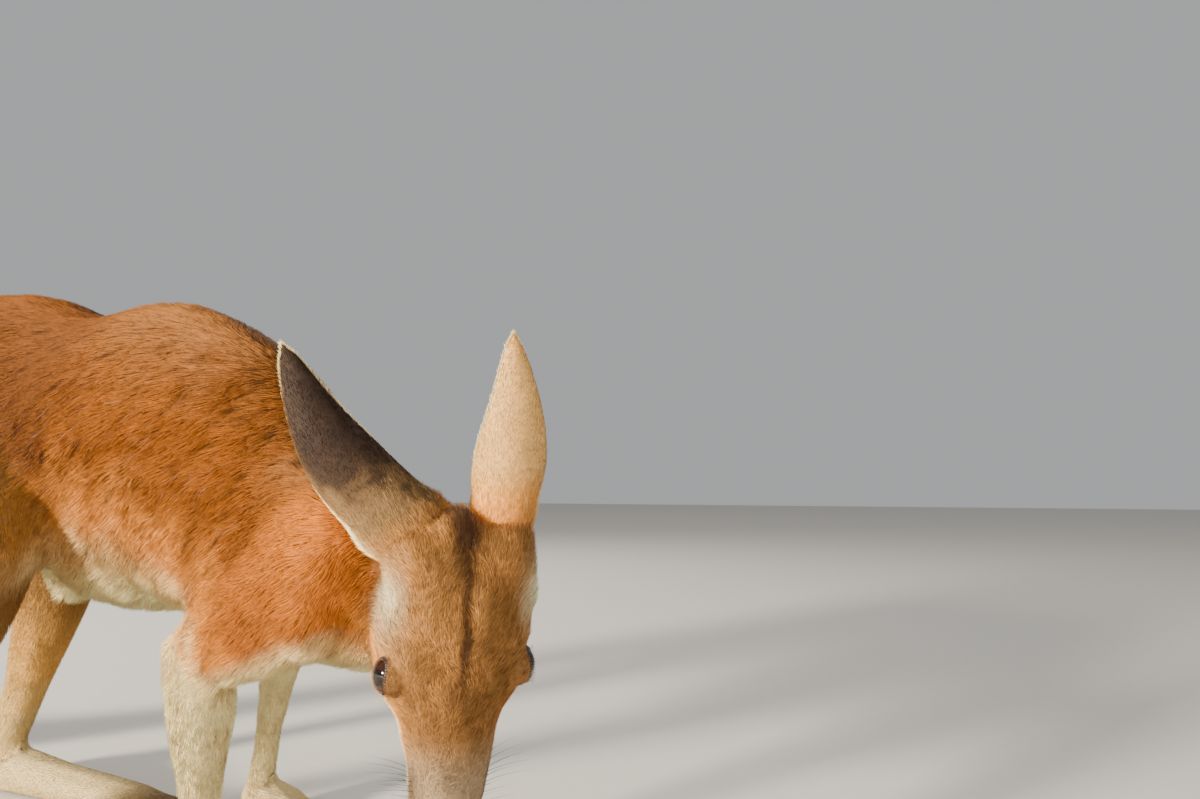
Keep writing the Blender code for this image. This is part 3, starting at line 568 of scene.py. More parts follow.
class Markings:
    """The animal's markings: the same on skin and coat."""

    def __init__(self, anatomy: Anatomy, palette: Palette) -> None:
        """Keeps the anatomy and turns the palette to linear light."""
        self.anatomy = anatomy
        self.tint = {name: linear(value) for name, value in vars(palette).items()}
        self.names = [bone.name for bone in anatomy.bones]

    def share_of(self, weights: Array, *names: str) -> Array:
        """The summed weight of the bones with the given names."""
        total = np.zeros(len(weights))
        for index, name in enumerate(self.names):
            if name.split("_")[0] in names:
                total += weights[:, index]
        return total

    def along(self, weights: Array, shares: Array, *names: str) -> Array:
        """The mean fraction along the bones with the given names."""
        picked = [i for i, name in enumerate(self.names) if name.split("_")[0] in names]
        sub = weights[:, picked]
        return (sub * shares[:, picked]).sum(1) / np.maximum(sub.sum(1), 1e-6)

    def layered(self, base: str, *layers: tuple[str, Array]) -> Array:
        """Named colours laid over a base colour, each by its share.

        Args:
            base: the lowest colour's name.
            layers: names and shares, the lowest first.

        Returns:
            Linear colours, one row a share.
        """
        colour = np.tile(self.tint[base], (len(layers[0][1]), 1))
        for name, share in layers:
            colour = mix(colour, self.tint[name], share)
        return colour

    def at(self, points: Array, normals: Array, weights: Array, shares: Array) -> Array:
        """The coat's colour at each point.

        Args:
            points: rows in the frame.
            normals: the surface normals there.
            weights: the bones' weights there.
            shares: the fractions along each bone there.

        Returns:
            Linear colours, one row a point.
        """
        lift = normals[:, 2]
        drift = soft_noise(points, 34 * MM, 3)
        round_body = 0.35 * lift + 0.65 * self.round_trunk(points, weights, shares)
        colour = self.trunk(points, round_body, drift)
        down = {name: self.along(weights, shares, name)
                for name in ("thigh", "shin", "foot", "arm", "hand")}
        cream = np.tile(self.tint["cream"], (len(points), 1))
        regions = (
            (("tail",), self.tail(points, lift, drift)),
            (("thigh",), self.thigh(points, normals, drift, down["thigh"])),
            (("shin",), self.shin(drift, down["shin"])),
            (("foot",), self.foot(lift, down["foot"])),
            (("arm",), self.arm(lift, drift, down["arm"])),
            (("forearm",), cream * (1 + 0.10 * drift[:, None])),
            (("hand",), self.hand(lift, down["hand"])),
            (("neck",), self.neck(lift)),
            (("muzzle", "face", "crown"), self.head(points, normals)),
        )
        for names, values in regions:
            share = self.share_of(weights, *names)
            colour = mix(colour, values, smooth_step(0.15, 0.85, share))
        sac = np.linalg.norm(points - np.array(SAC_MIDDLE), axis=1)
        return mix(colour, self.tint["cream"], smooth_step(0.058, 0.040, sac))

    def round_trunk(self, points: Array, weights: Array, shares: Array) -> Array:
        """How high on the trunk's round each point lies: 1 on the back, -1 beneath."""
        picked = [i for i, name in enumerate(self.names) if name in TRUNK_BONES]
        part = weights[:, picked] / np.maximum(weights[:, picked].sum(1, keepdims=True), 1e-9)
        bones = self.anatomy
        middles = bones.start[picked][None] + bones.run[picked][None] * shares[:, picked, None]
        return unit(points - (part[..., None] * middles).sum(1))[:, 2]

    def trunk(self, points: Array, lift: Array, drift: Array) -> Array:
        """Duller on the back, bright on the flank, paler lower down, cream beneath and darker brown
        at the haunch: partly its own colour, partly painted shade.
        """
        height = lift + 0.05 * drift
        # darker towards the haunch: partly its own colour, partly painted shade where the thigh meets
        # the flank
        haunch_and_shade = smooth_step(-0.275, -0.200, points[:, 1] - OFFSET.y + 0.012 * drift)
        return self.layered("flank",
                            ("back", smooth_step(0.35, 0.92, height)),
                            ("low_flank", smooth_step(0.15, -0.38, height)),
                            ("cream", smooth_step(-0.22, -0.92, height)),
                            ("haunch_and_shade", 0.92 * haunch_and_shade * smooth_step(-0.45, -0.10, height)))

    def tail(self, points: Array, lift: Array, drift: Array) -> Array:
        """Rufous above, paler below and towards the tip."""
        out = smooth_step(0.30, 1.0, points[:, 1] - OFFSET.y)
        return self.layered("tail_top", ("tail_low", smooth_step(0.35, -0.65, lift + 0.03 * drift)),
                            ("tail_low", 0.55 * out))

    def thigh(self, points: Array, normals: Array, drift: Array, down: Array) -> Array:
        """Dark brown outside, the coat's own rufous darkened by painted shade, cream on the inner
        side.
        """
        outward = np.sign(points[:, 0] - OFFSET.x) * normals[:, 0]
        inner = smooth_step(0.05, -0.45, outward + 0.05 * drift)
        return self.layered("thigh", ("back", 0.4 * smooth_step(0.3, 0.8, normals[:, 2])),
                            ("shin", 0.3 * smooth_step(0.75, 1.0, down)),
                            ("cream", inner * smooth_step(0.15, -0.35, normals[:, 2])))

    def shin(self, drift: Array, down: Array) -> Array:
        """Tan, browner by the knee with the thigh's colour and its painted shade, and cream towards
        the ankle.
        """
        return self.layered("shin", ("thigh", 0.9 * smooth_step(0.60, 0.05, down)),
                            ("cream", 0.7 * smooth_step(0.50, 0.95, down + 0.05 * drift)))

    def foot(self, lift: Array, down: Array) -> Array:
        """Cream with darker toes and bare dark pads underneath."""
        return self.layered("foot", ("toe", smooth_step(0.66, 0.92, down)),
                            ("naked", smooth_step(-0.75, -0.95, lift)))

    def arm(self, lift: Array, drift: Array, down: Array) -> Array:
        """Orange at the shoulder, fading to cream at the elbow and beneath."""
        down = down + 0.06 * drift
        return self.layered("arm", ("low_flank", smooth_step(0.35, 0.70, down)),
                            ("cream", smooth_step(0.72, 0.98, down)),
                            ("cream", 0.8 * smooth_step(-0.45, -0.85, lift)))

    def hand(self, lift: Array, down: Array) -> Array:
        """Cream with darker fingers and a bare palm."""
        return self.layered("hand", ("finger", smooth_step(0.45, 0.85, down)),
                            ("naked", smooth_step(-0.75, -0.95, lift)))

    def neck(self, lift: Array) -> Array:
        """Darker along the nape, cream at the throat."""
        return self.layered("arm", ("nape", smooth_step(0.0, 0.6, lift)),
                            ("cream", smooth_step(-0.35, -0.8, lift)))

    def head(self, points: Array, normals: Array) -> Array:
        """Grizzled forehead, dark median stripe, painted shade between the ears, orange cheeks, pale
        streak and dark muzzle side.
        """
        along, right, out = head_rows(points)
        aside = np.abs(right)
        front = normals @ np.array(FOREHEAD)
        sideways = np.abs(front)
        grizzle = smooth_step(0.1, 0.8, front) * smooth_step(0.24, 0.55, along)
        # painted shade in the hollow between the ear bases
        between_ears_shade = smooth_step(14 * MM, 3 * MM, aside) * smooth_step(0.25, 0.06, along)
        stripe = smooth_step(5.5 * MM, 1.0 * MM, aside) * smooth_step(0.62, 0.40, along)
        dark = np.maximum(0.78 * stripe, 0.92 * between_ears_shade) * smooth_step(-0.1, 0.3, front)
        whisker_bed = (smooth_step(0.70, 0.80, along) * smooth_step(0.97, 0.90, along)
                       * smooth_step(0.75, 0.35, np.abs(front + 0.05)))
        streak = (hill((out, -0.006 + 0.016 * (0.80 - along), 4.6 * MM))
                  * smooth_step(0.50, 0.62, along) * smooth_step(0.92, 0.80, along)
                  * smooth_step(0.55, 0.15, sideways))
        chin = smooth_step(-0.35, -0.7, front) * smooth_step(0.006, -0.006, out)
        colour = self.layered(
            "cheek",
            ("forehead", smooth_step(-0.15, 0.55, front)),
            ("grizzle", 0.50 * grizzle * (0.8 + 0.4 * soft_noise(points, 9 * MM, 5))),
            ("stripe", dark),
            ("muzzle", smooth_step(0.62, 0.80, along) * smooth_step(-0.6, 0.2, front)),
            ("muzzle_dark", 0.75 * whisker_bed),
            ("white", 0.70 * streak),
            ("white", chin * smooth_step(0.20, 0.45, along)))
        tousled = soft_noise(points, 6 * MM, 29) * smooth_step(0.70, 0.45, along)
        ear_patch = hill((along, 0.23, 0.10), (out, 0.008, 0.018))
        return mix(colour * (1 + 0.15 * tousled)[:, None], self.tint["white"],
                   0.92 * ear_patch * smooth_step(0.028, 0.040, aside))


def soft_noise(points: Array, size: float, seed: int) -> Array:
    """A smooth random field made of a few waves.

    Args:
        points: rows in metres.
        size: the typical distance between its hills.
        seed: fixes the waves.

    Returns:
        Numbers about -1 to 1.
    """
    chance = np.random.default_rng(seed)
    total = np.zeros(len(points))
    waves = 7
    for _ in range(waves):
        direction = unit(chance.normal(size=(1, 3)))[0]
        length = size * chance.uniform(0.7, 1.6)
        total += np.sin(points @ direction * (2 * math.pi / length) + chance.uniform(0, 6.28))
    return total / math.sqrt(waves)


# ---- skin ---------------------------------------------------------------------------------------
FACE_REACH = 0.085              # the face's farthest corners from the head's own axis
EARS = ("ear_right", "ear_left")
EYES = ("eye_right", "eye_left")


def flesh_nodes() -> list[str]:
    """The CAD nodes that the skin covers."""
    return [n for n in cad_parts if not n.startswith("claw_") and n not in EARS + EYES]


def claw_nodes() -> list[str]:
    """The CAD nodes of the claws."""
    return sorted(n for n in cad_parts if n.startswith("claw_"))


class Skin:
    """One skin over all the flesh, drawn in by the depth of the coat."""

    def __init__(self, anatomy: Anatomy, markings: Markings) -> None:
        """Keeps what the skin is dressed from."""
        self.anatomy = anatomy
        self.markings = markings

    def grown(self, names: list[str], grain: float) -> bmesh.types.BMesh:
        """Some flesh nodes grown together into one closed form, with the eyeballs behind the lids.

        Args:
            names: the flesh nodes.
            grain: the edge of the form's faces.

        Returns:
            The form.
        """
        joined = bmesh.new()
        for name in names:
            joined.from_mesh(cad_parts[name].data)
        bmesh.ops.remove_doubles(joined, verts=joined.verts, dist=DOUBLES)
        if "head" in names:
            for sign in SIGNS:
                bmesh.ops.create_icosphere(joined, subdivisions=3, radius=EYE_RADIUS + 0.8 * MM,
                                           matrix=Matrix.Translation(eye_middle(sign)))
        mesh = bpy.data.meshes.new("grown")
        joined.to_mesh(mesh)
        obj = new_object("grown", mesh)
        remesh = obj.modifiers.new("close", "REMESH")
        remesh.mode = "VOXEL"
        remesh.voxel_size = grain
        joined.clear()
        joined.from_mesh(baked(obj))
        drop(obj)
        return joined

    def whole(self) -> bpy.types.Mesh:
        """The body's form, with finer hands and feet set into its wrists and ankles."""
        form = self.grown(flesh_nodes(), SKIN_GRAIN)
        keep_where(form, lambda points: ~self.beyond(points, 0.10, 0.22))
        for side in Side:
            for near, far, grain in (("forearm", "hand", HAND_GRAIN), ("shin", "foot", FOOT_GRAIN)):
                part = self.grown([f"{near}_{side.value}", f"{far}_{side.value}"], grain)
                keep_where(part, lambda points: self.beyond(points, -0.01, -0.01))
                form.from_mesh(mesh_of(part, "extremity"))
        return mesh_of(form, "whole")

    def beyond(self, points: Array, hand_share: float, foot_share: float) -> Array:
        """Which points lie further along a hand or foot than the given fractions."""
        weights, shares = self.anatomy.nearness(points)
        nearest = weights.argmax(1)
        own = shares[np.arange(len(points)), nearest]
        names = np.array([bone.region.value for bone in self.anatomy.bones])[nearest]
        return ((names == "hands") & (own > hand_share)) | ((names == "feet") & (own > foot_share))

    def refine_head(self, mesh: bpy.types.Mesh) -> None:
        """Makes the face four times finer, and the surroundings of the eyes finer again."""
        bm = bmesh.new()
        bm.from_mesh(mesh)
        for _ in range(2):
            edges = [e for e in bm.edges if near_face((e.verts[0].co + e.verts[1].co) / 2)]
            bmesh.ops.subdivide_edges(bm, edges=edges, cuts=1, use_grid_fill=True)
        for sign in SIGNS:
            middle = eye_middle(sign)
            edges = [e for e in bm.edges if (e.verts[0].co - middle).length < 0.024
                     and (e.verts[0].co - middle).dot(eye_axes(sign)[2]) > 0]
            bmesh.ops.subdivide_edges(bm, edges=edges, cuts=1, use_grid_fill=True)
        bmesh.ops.triangulate(bm, faces=[f for f in bm.faces if len(f.verts) > 4])
        bm.to_mesh(mesh)
        bm.free()

    def build(self) -> bpy.types.Object:
        """Builds the skin as one object.

        Returns:
            The skin's object, with its colours stored.
        """
        mesh = self.whole()
        set_corners(mesh, relaxed(mesh, 12))
        self.refine_head(mesh)
        set_corners(mesh, relaxed(mesh, 4))
        points, normals = corners_of(mesh), normals_of(mesh)
        weights, _ = self.anatomy.nearness(points)
        points -= normals * (weights @ self.anatomy.coat_depth)[:, None]
        set_corners(mesh, points)
        normals = normals_of(mesh)
        set_corners(mesh, carve_face(points, normals))
        points = clear_of_eyeballs(relaxed(mesh, 5, round_eyes(corners_of(mesh))))
        points[:, 2] = np.maximum(points[:, 2], 0.0)
        set_corners(mesh, points)
        self.dress(mesh)
        mesh.shade_smooth()
        return new_object("skin", mesh)

    def dress(self, mesh: bpy.types.Mesh) -> None:
        """Stores the skin's colour and where it is bare."""
        points, normals = corners_of(mesh), normals_of(mesh)
        weights, shares = self.anatomy.nearness(points)
        bare = bare_skin(points, normals)
        # painted shade: the skin is drawn darker than the coat, as the shade under the coat
        colours = self.markings.at(points, normals, weights, shares) * SKIN_PAINTED_SHADE
        colours = mix(colours, self.markings.tint["naked"], bare)
        store_colour(mesh, colours)
        store_number(mesh, BARE_NAME, bare)


def keep_where(form: bmesh.types.BMesh, test: Callable[[Array], Array]) -> None:
    """Deletes the faces of a form whose middles fail a test.

    Args:
        form: the form to trim.
        test: takes rows of points and says which to keep.
    """
    middles = np.array([face.calc_center_median() for face in form.faces])
    kept = test(middles)
    gone = [face for face, keep in zip(form.faces, kept) if not keep]
    bmesh.ops.delete(form, geom=gone, context="FACES")


def near_face(point: Vector) -> bool:
    """Whether a point lies on the front four fifths of the head."""
    away = point - (OCCIPUT + OFFSET)
    along = away.dot(HEAD_DOWN) / HEAD_LENGTH
    return along > 0.22 and (away - HEAD_DOWN * away.dot(HEAD_DOWN)).length < FACE_REACH


def round_eyes(points: Array) -> Array:
    """1 in the ring of skin round each eye, 0 elsewhere, with soft edges."""
    ring = np.zeros(len(points))
    for sign in SIGNS:
        depth, distance = inside_opening(points, sign)
        near = smooth_step(EYE_RADIUS + 16 * MM, EYE_RADIUS + 9 * MM, distance)
        ring = np.maximum(ring, smooth_step(-0.12, -0.35, depth) * near)
    return ring


EASE, SWELL = 0.50, -0.53       # each turn eases the corners and then swells them back


def relaxed(mesh: bpy.types.Mesh, rounds: int, share: Array | None = None) -> Array:
    """Corners smoothed without shrinking, by turns of easing and swelling.

    Args:
        mesh: the mesh to smooth.
        rounds: how many turns.
        share: how much each corner is smoothed, or None for all alike.

    Returns:
        The new corners.
    """
    edges = np.empty(len(mesh.edges) * 2, np.int32)
    mesh.edges.foreach_get("vertices", edges)
    edges = edges.reshape(-1, 2)
    points = corners_of(mesh)
    count = np.bincount(edges.ravel(), minlength=len(points)).astype(float)
    for _ in range(rounds):
        for step in (EASE, SWELL):
            total = np.empty_like(points)
            for axis in range(3):
                total[:, axis] = (
                    np.bincount(edges[:, 0], points[edges[:, 1], axis], len(points))
                    + np.bincount(edges[:, 1], points[edges[:, 0], axis], len(points)))
            move = step * (total / count[:, None] - points)
            points += move if share is None else move * share[:, None]
    return points


# ---- face ---------------------------------------------------------------------------------------
def eye_middle(sign: int) -> Vector:
    """The middle of an eyeball; sign is 1 on the right and -1 on the left."""
    return head_point(EYE_ALONG, sign * EYE_ASIDE, EYE_OUT)


def eye_axes(sign: int) -> tuple[Vector, Vector, Vector]:
    """The eye's own axes: along its opening towards the nose, across it, and outwards."""
    out = (HEAD_RIGHT * sign * 0.88 + FOREHEAD * 0.44 - HEAD_DOWN * 0.06).normalized()
    long_way = HEAD_DOWN * 0.94 + FOREHEAD * 0.30
    long_way = (long_way - out * long_way.dot(out)).normalized()
    across = out.cross(long_way).normalized()
    if across.dot(FOREHEAD) < 0:
        across = -across
    return long_way, across, out


EYE_HALF_LENGTH = 0.76          # of the eye's radius
EYE_HALF_HEIGHT = 0.52
LID_THICKNESS = 1.1 * MM
SOCKET_DEPTH = 1.6 * MM         # the skin runs on behind the eyeball's front
EYE_SKEW = 0.28                 # how much narrower the opening is at its inner corner


def opening_at(angle: Array) -> tuple[Array, Array]:
    """The eye's opening as an almond with a drawn-out inner corner.

    Args:
        angle: from 0 at the inner corner round the brow side.

    Returns:
        How far along and across the opening, as fractions of the eye's radius.
    """
    along = EYE_HALF_LENGTH * np.cos(angle)
    across = EYE_HALF_HEIGHT * np.sin(angle) * (1 - EYE_SKEW * np.cos(angle))
    return along, across


def inside_opening(points: Array, sign: int) -> tuple[Array, Array]:
    """How far inside the eye's opening each point lies.

    Args:
        points: rows in the frame.
        sign: which eye.

    Returns:
        1 in the middle of the opening, 0 on its edge and less outside, and the distance to the
        eye's middle.
    """
    long_way, across, out = (np.array(axis) for axis in eye_axes(sign))
    away = points - np.array(eye_middle(sign))
    distance = np.linalg.norm(away, axis=1)
    ray = away / np.maximum(distance, 1e-9)[:, None]
    x, y = ray @ long_way, ray @ across
    x_share = np.clip(x / EYE_HALF_LENGTH, -1.8, 1.8)
    y_room = EYE_HALF_HEIGHT * (1 - EYE_SKEW * x_share)
    depth = 1 - np.sqrt(x_share ** 2 + (y / np.maximum(y_room, 0.05)) ** 2)
    facing = ray @ out
    depth = np.where(facing > 0, depth - 1.6 * smooth_step(0.34, 0.04, facing), -2.0)
    return depth, distance


def carve_face(points: Array, normals: Array) -> Array:
    """Sinks the eye openings, nostrils and mouth into the skin and raises brows and lips.

    Args:
        points: the skin's corners.
        normals: the normals there.

    Returns:
        The carved corners.
    """
    along, right, out = head_rows(points)
    aside = np.abs(right)
    on_head = (along > 0.05) & (along < 1.1) & (aside < 0.07) & (np.abs(out) < 0.07)
    front = normals @ np.array(FOREHEAD)
    mouth_height = -0.0065 - 0.010 * (0.96 - along)
    brow = hill((along, 0.375, 0.055), (aside, 0.033, 0.009)) * (front > 0)
    hollow = hill((along, 0.60, 0.06), (aside, 0.030, 0.010)) * (front > -0.2)
    groove = hill((aside, 0, 0.0045)) * smooth_step(0.46, 0.30, along) * (front > 0)
    mouth = hill((out, mouth_height, 1.5 * MM)) * smooth_step(0.68, 0.76, along)
    lip = hill((out, mouth_height + 4.2 * MM, 2.6 * MM)) * smooth_step(0.72, 0.82, along)
    nostril = hill((along, 0.965, 0.014), (aside, 0.0088, 0.0026), (out, 0.0085, 0.0050))
    wing = hill((along, 0.950, 0.020), (aside, 0.0125, 0.0030), (out, 0.0090, 0.0060))
    cleft = hill((aside, 0, 0.0012)) * smooth_step(0.95, 0.985, along) * (out < 0.010)
    shift = MM * (1.6 * brow - 1.8 * hollow - 1.2 * groove - 1.9 * mouth * (np.abs(front) < 0.85)
                  + 0.9 * lip - 4.6 * nostril + 1.3 * wing - 0.9 * cleft)
    shift[~on_head] = 0
    carved = points + normals * shift[:, None]
    for sign in SIGNS:
        depth, distance = inside_opening(carved, sign)
        middle = np.array(eye_middle(sign))
        ray = (carved - middle) / np.maximum(distance, 1e-9)[:, None]
        near = (distance < EYE_RADIUS + 8 * MM) & (depth > -1.25)
        lid = EYE_RADIUS + LID_THICKNESS
        around = near & (depth <= 0)
        hold = smooth_step(-0.62, -0.08, depth)
        hold = hold * smooth_step(EYE_RADIUS + 8 * MM, EYE_RADIUS + 3 * MM, distance)
        raised = distance + (np.maximum(distance, lid) - distance) * smooth_step(-1.25, -0.40, depth)
        distance = np.where(around, raised + (lid - raised) * hold, distance)
        distance = np.where(near & (depth > 0), EYE_RADIUS - SOCKET_DEPTH, distance)
        carved = np.where(near[:, None], middle + ray * distance[:, None], carved)
    return carved


def clear_of_eyeballs(points: Array) -> Array:
    """Keeps the skin outside the eyes' openings off the eyeballs."""
    for sign in SIGNS:
        depth, distance = inside_opening(points, sign)
        middle = np.array(eye_middle(sign))
        least = EYE_RADIUS + 0.9 * MM
        push = np.where((depth < -0.05) & (distance < least), least / np.maximum(distance, 1e-9), 1)
        points = middle + (points - middle) * push[:, None]
    return points


def bare_skin(points: Array, normals: Array) -> Array:
    """Where the skin is naked: nose pad, eye rims and soles.

    Args:
        points: rows in the frame.
        normals: the normals there.

    Returns:
        1 where bare, 0 where the coat grows.
    """
    along, right, out = head_rows(points)
    pad = smooth_step(0.925, 0.950, along) * smooth_step(0.000, 0.004, out)
    pad = pad * smooth_step(0.0165, 0.0130, np.abs(right)) * (np.abs(right) < 0.03) * (along < 1.15)
    bare = pad
    for sign in SIGNS:
        depth, distance = inside_opening(points, sign)
        rim = smooth_step(-0.16, -0.05, depth) * (distance < EYE_RADIUS + 4 * MM)
        bare = np.maximum(bare, rim)
    return np.maximum(bare, smooth_step(0.0030, 0.0008, points[:, 2]) * (normals[:, 2] < -0.3))


# ---- ears ---------------------------------------------------------------------------------------
EAR_PROFILE = (
    (0.00, 0.0180, 150),
    (0.14, 0.0238, 134),
    (0.30, 0.0260, 114),
    (0.46, 0.0238, 99),
    (0.62, 0.0193, 88),
    (0.77, 0.0146, 80),
    (0.90, 0.0090, 74),
    (1.00, 0.0030, 66),
)


INNER_SIDE = 3                  # added to the position across the ear on its inner side
EAR_SPACING = 0.86 * MM
FRINGE_HAIRS = 26               # between two rings of the ear
EAR_BASE_SHARE = -0.20          # the funnel's foot, sunk in the head
EAR_BASE_RADIUS = {Side.RIGHT: 30.5 * MM, Side.LEFT: 22.5 * MM}
EAR_BASE_ANGLE = 165
EAR_BASE_END = 0.34


@dataclass
class Ear:
    """One cupped ear: a thin shell whose back shows when the head hangs."""

    side: Side
    rings: int = 44
    steps: int = 26
    wall: float = 1.5 * MM
    inset: float = 0.5 * MM
    axes: tuple[Array, Array, Array] = field(init=False)

    def __post_init__(self) -> None:
        """Works out the ear's axes: across, towards its back, and along it."""
        axis = Vector(EAR_TIP[self.side]) - Vector(EAR_ROOT[self.side])
        along = axis.normalized()
        back = Matrix.Rotation(EAR_BACK_TURN[self.side], 3, along) @ FOREHEAD
        back = (back - back.dot(along) * along).normalized()
        self.axes = tuple(np.array(v) for v in (back.cross(along), back, along))

    def middle_line(self, share: Array) -> Array:
        """The ear's middle line at fractions of its length."""
        root, tip = Vector(EAR_ROOT[self.side]), Vector(EAR_TIP[self.side])
        foot = np.array(root.lerp(tip, EAR_SEAT) + OFFSET)
        tip = np.array(tip + OFFSET)
        bow = np.array(EAR_BOW[self.side])
        return foot + (tip - foot) * share[:, None] + bow * np.sin(math.pi * share)[:, None]

    def build(self) -> tuple[Array, Array, Array, Array]:
        """The ear's corners and faces.

        Returns:
            Corners, four-cornered faces, the fraction along the ear and the position across it,
            from -1 to 1 on the back and beyond 2 on the inner side.
        """
        across, back, _ = self.axes
        table = np.array(EAR_PROFILE)
        share = 1 - (1 - EAR_BASE_SHARE) * np.linspace(1, 0, self.rings) ** 1.25
        radius = np.interp(share, table[:, 0], table[:, 1])
        radius = np.convolve(np.pad(radius, 2, mode="edge"), np.ones(5) / 5, mode="valid")
        flare = smooth_step(EAR_BASE_END, EAR_BASE_SHARE + 0.12, share)
        radius = np.maximum(radius, 0.0225) * flare + radius * (1 - flare)
        radius = radius + (EAR_BASE_RADIUS[self.side] - radius) * flare
        radius = radius * (1 - 0.30 * smooth_step(0.03, EAR_BASE_SHARE, share))
        radius = radius * np.sqrt(np.clip((1.004 - share) / 0.07, 0, 1))
        half = np.interp(share, table[:, 0], table[:, 2])
        half = np.radians(half + (EAR_BASE_ANGLE - half) * flare)
        centre = self.middle_line(share) - back * (radius * 0.55)[:, None]
        around = np.linspace(-1, 1, self.steps)
        angle = half[:, None] * around[None]
        ray = back * np.cos(angle)[..., None] + across * np.sin(angle)[..., None]
        tips = 1 - 0.12 * np.abs(around) ** 6
        outer = centre[:, None] + ray * ((radius[:, None] - self.inset) * tips)[..., None]
        inner_radius = np.maximum(radius - self.inset - self.wall, radius * 0.35)
        inner = centre[:, None] + ray * (inner_radius[:, None] * tips)[..., None]
        loop = np.concatenate([outer, inner[:, ::-1]], axis=1)
        count = self.steps * 2
        index = np.arange(self.rings * count).reshape(self.rings, count)
        following = np.roll(index, -1, axis=1)
        faces = np.stack([index[:-1], following[:-1], following[1:], index[1:]], -1).reshape(-1, 4)
        near, far = index[-1, :self.steps], index[-1, :self.steps:-1]
        cap = np.stack([near[:-1], near[1:], far - 1, far], -1)
        place = np.tile(np.concatenate([around, INNER_SIDE + around]), self.rings)
        return loop.reshape(-1, 3), np.concatenate([faces, cap]), np.repeat(share, count), place


def sides_of(place: Array) -> tuple[Array, Array]:
    """Which places are on an ear's inner side, and where across the ear each lies."""
    inner = place > INNER_SIDE / 2
    return inner, np.where(inner, place - INNER_SIDE, place)


def ear_colours(markings: Markings, side: Side, share: Array, place: Array, points: Array) -> Array:
    """The ear's colours: grey-brown back with an orange base, pale rims and a pink-buff inner side;
    the right ear's back is darkened by painted shade and the left ear's back is lightened by painted
    light.

    Args:
        markings: holds the colours.
        side: the ear's side.
        share: fraction along the ear.
        place: position across it, beyond 2 on the inner side.
        points: rows in the frame.

    Returns:
        Linear colours, one row a point.
    """
    grain = soft_noise(points, 12 * MM, 11)
    # painted light and shade: the right ear's back is darkened as shade and the left ear's back
    # lightened as light
    if side is Side.RIGHT:
        dark = smooth_step(0.22, 0.50, share) * (0.75 + 0.15 * grain)
        colour = markings.layered(
            "ear_back",
            ("ear_dark", np.clip(dark, 0, 1)),
            ("ear_base", 0.85 * smooth_step(0.34, 0.10, share + 0.08 * grain)),
            ("forehead", 0.9 * smooth_step(0.07, -0.03, share + 0.03 * grain)))
    else:
        colour = markings.tint["ear_pale"] * (1 + 0.06 * grain[:, None])
        colour = mix(colour, markings.tint["ear_orange"], smooth_step(0.28, 0.04, share))
        colour = mix(colour, markings.tint["cheek"], 0.8 * smooth_step(0.05, -0.05, share))
        colour = mix(colour, markings.tint["ear_orange"], 0.5 * smooth_step(0.85, 1.0, share))
    inner, across = sides_of(place)
    outer_edge = (across * side.outward < 0) & ~inner
    rim_start = np.where(outer_edge, 0.80 - 0.56 * smooth_step(0.62, 0.02, share), 0.86)
    rim = smooth_step(0.0, 0.13, np.abs(across) - rim_start)
    bare = markings.layered(
        "ear_bare",
        ("ear_inner", np.clip(smooth_step(0.30, 0.0, share) + 0.35 + 0.2 * grain, 0, 1)))
    halo = smooth_step(-0.42, 0.10, np.abs(across) - rim_start) * outer_edge
    colour = mix(colour, markings.tint["ear_base"], 0.65 * halo * (0.85 + 0.3 * grain))
    colour = np.where(inner[:, None], bare, colour)
    return mix(colour, markings.tint["cream"], 0.80 * rim * smooth_step(-0.12, 0.0, share))


# ---- tufts --------------------------------------------------------------------------------------
ROOT_SINK = 0.5 * MM            # how far a tuft's foot lies under the skin
LOCK_AREA = 3.2                 # a lock's area in squares of its size
LOCK_REACH = 1.2                # how many sizes away a tuft still joins a lock


@dataclass(frozen=True)
class TuftForm:
    """How the corners of one tuft are joined, darkened at the root as painted shade and lighter at
    the tip, and laid out on its bake patch.
    """

    faces: tuple[tuple[int, int, int], ...]
    painted_shades: tuple[float, ...]
    spots: tuple[tuple[float, float], ...]


STRAIGHT = TuftForm(
    faces=((0, 2, 3), (2, 1, 3), (1, 0, 3)),
    painted_shades=(0.74, 0.74, 0.86, 1.16),
    spots=((0.0, 0.0), (1.0, 0.0), (0.5, 0.4), (0.5, 1.0)),
)
BENT = TuftForm(
    faces=((0, 2, 5), (0, 5, 3), (2, 1, 4), (2, 4, 5), (1, 0, 3), (1, 3, 4), (3, 5, 6), (5, 4, 6),
           (4, 3, 6)),
    painted_shades=(0.74, 0.74, 0.86, 0.98, 0.98, 1.02, 1.16),
    spots=((0.0, 0.0), (1.0, 0.0), (0.5, 0.3), (0.1, 0.55), (0.9, 0.55), (0.5, 0.6), (0.5, 1.0)),
)


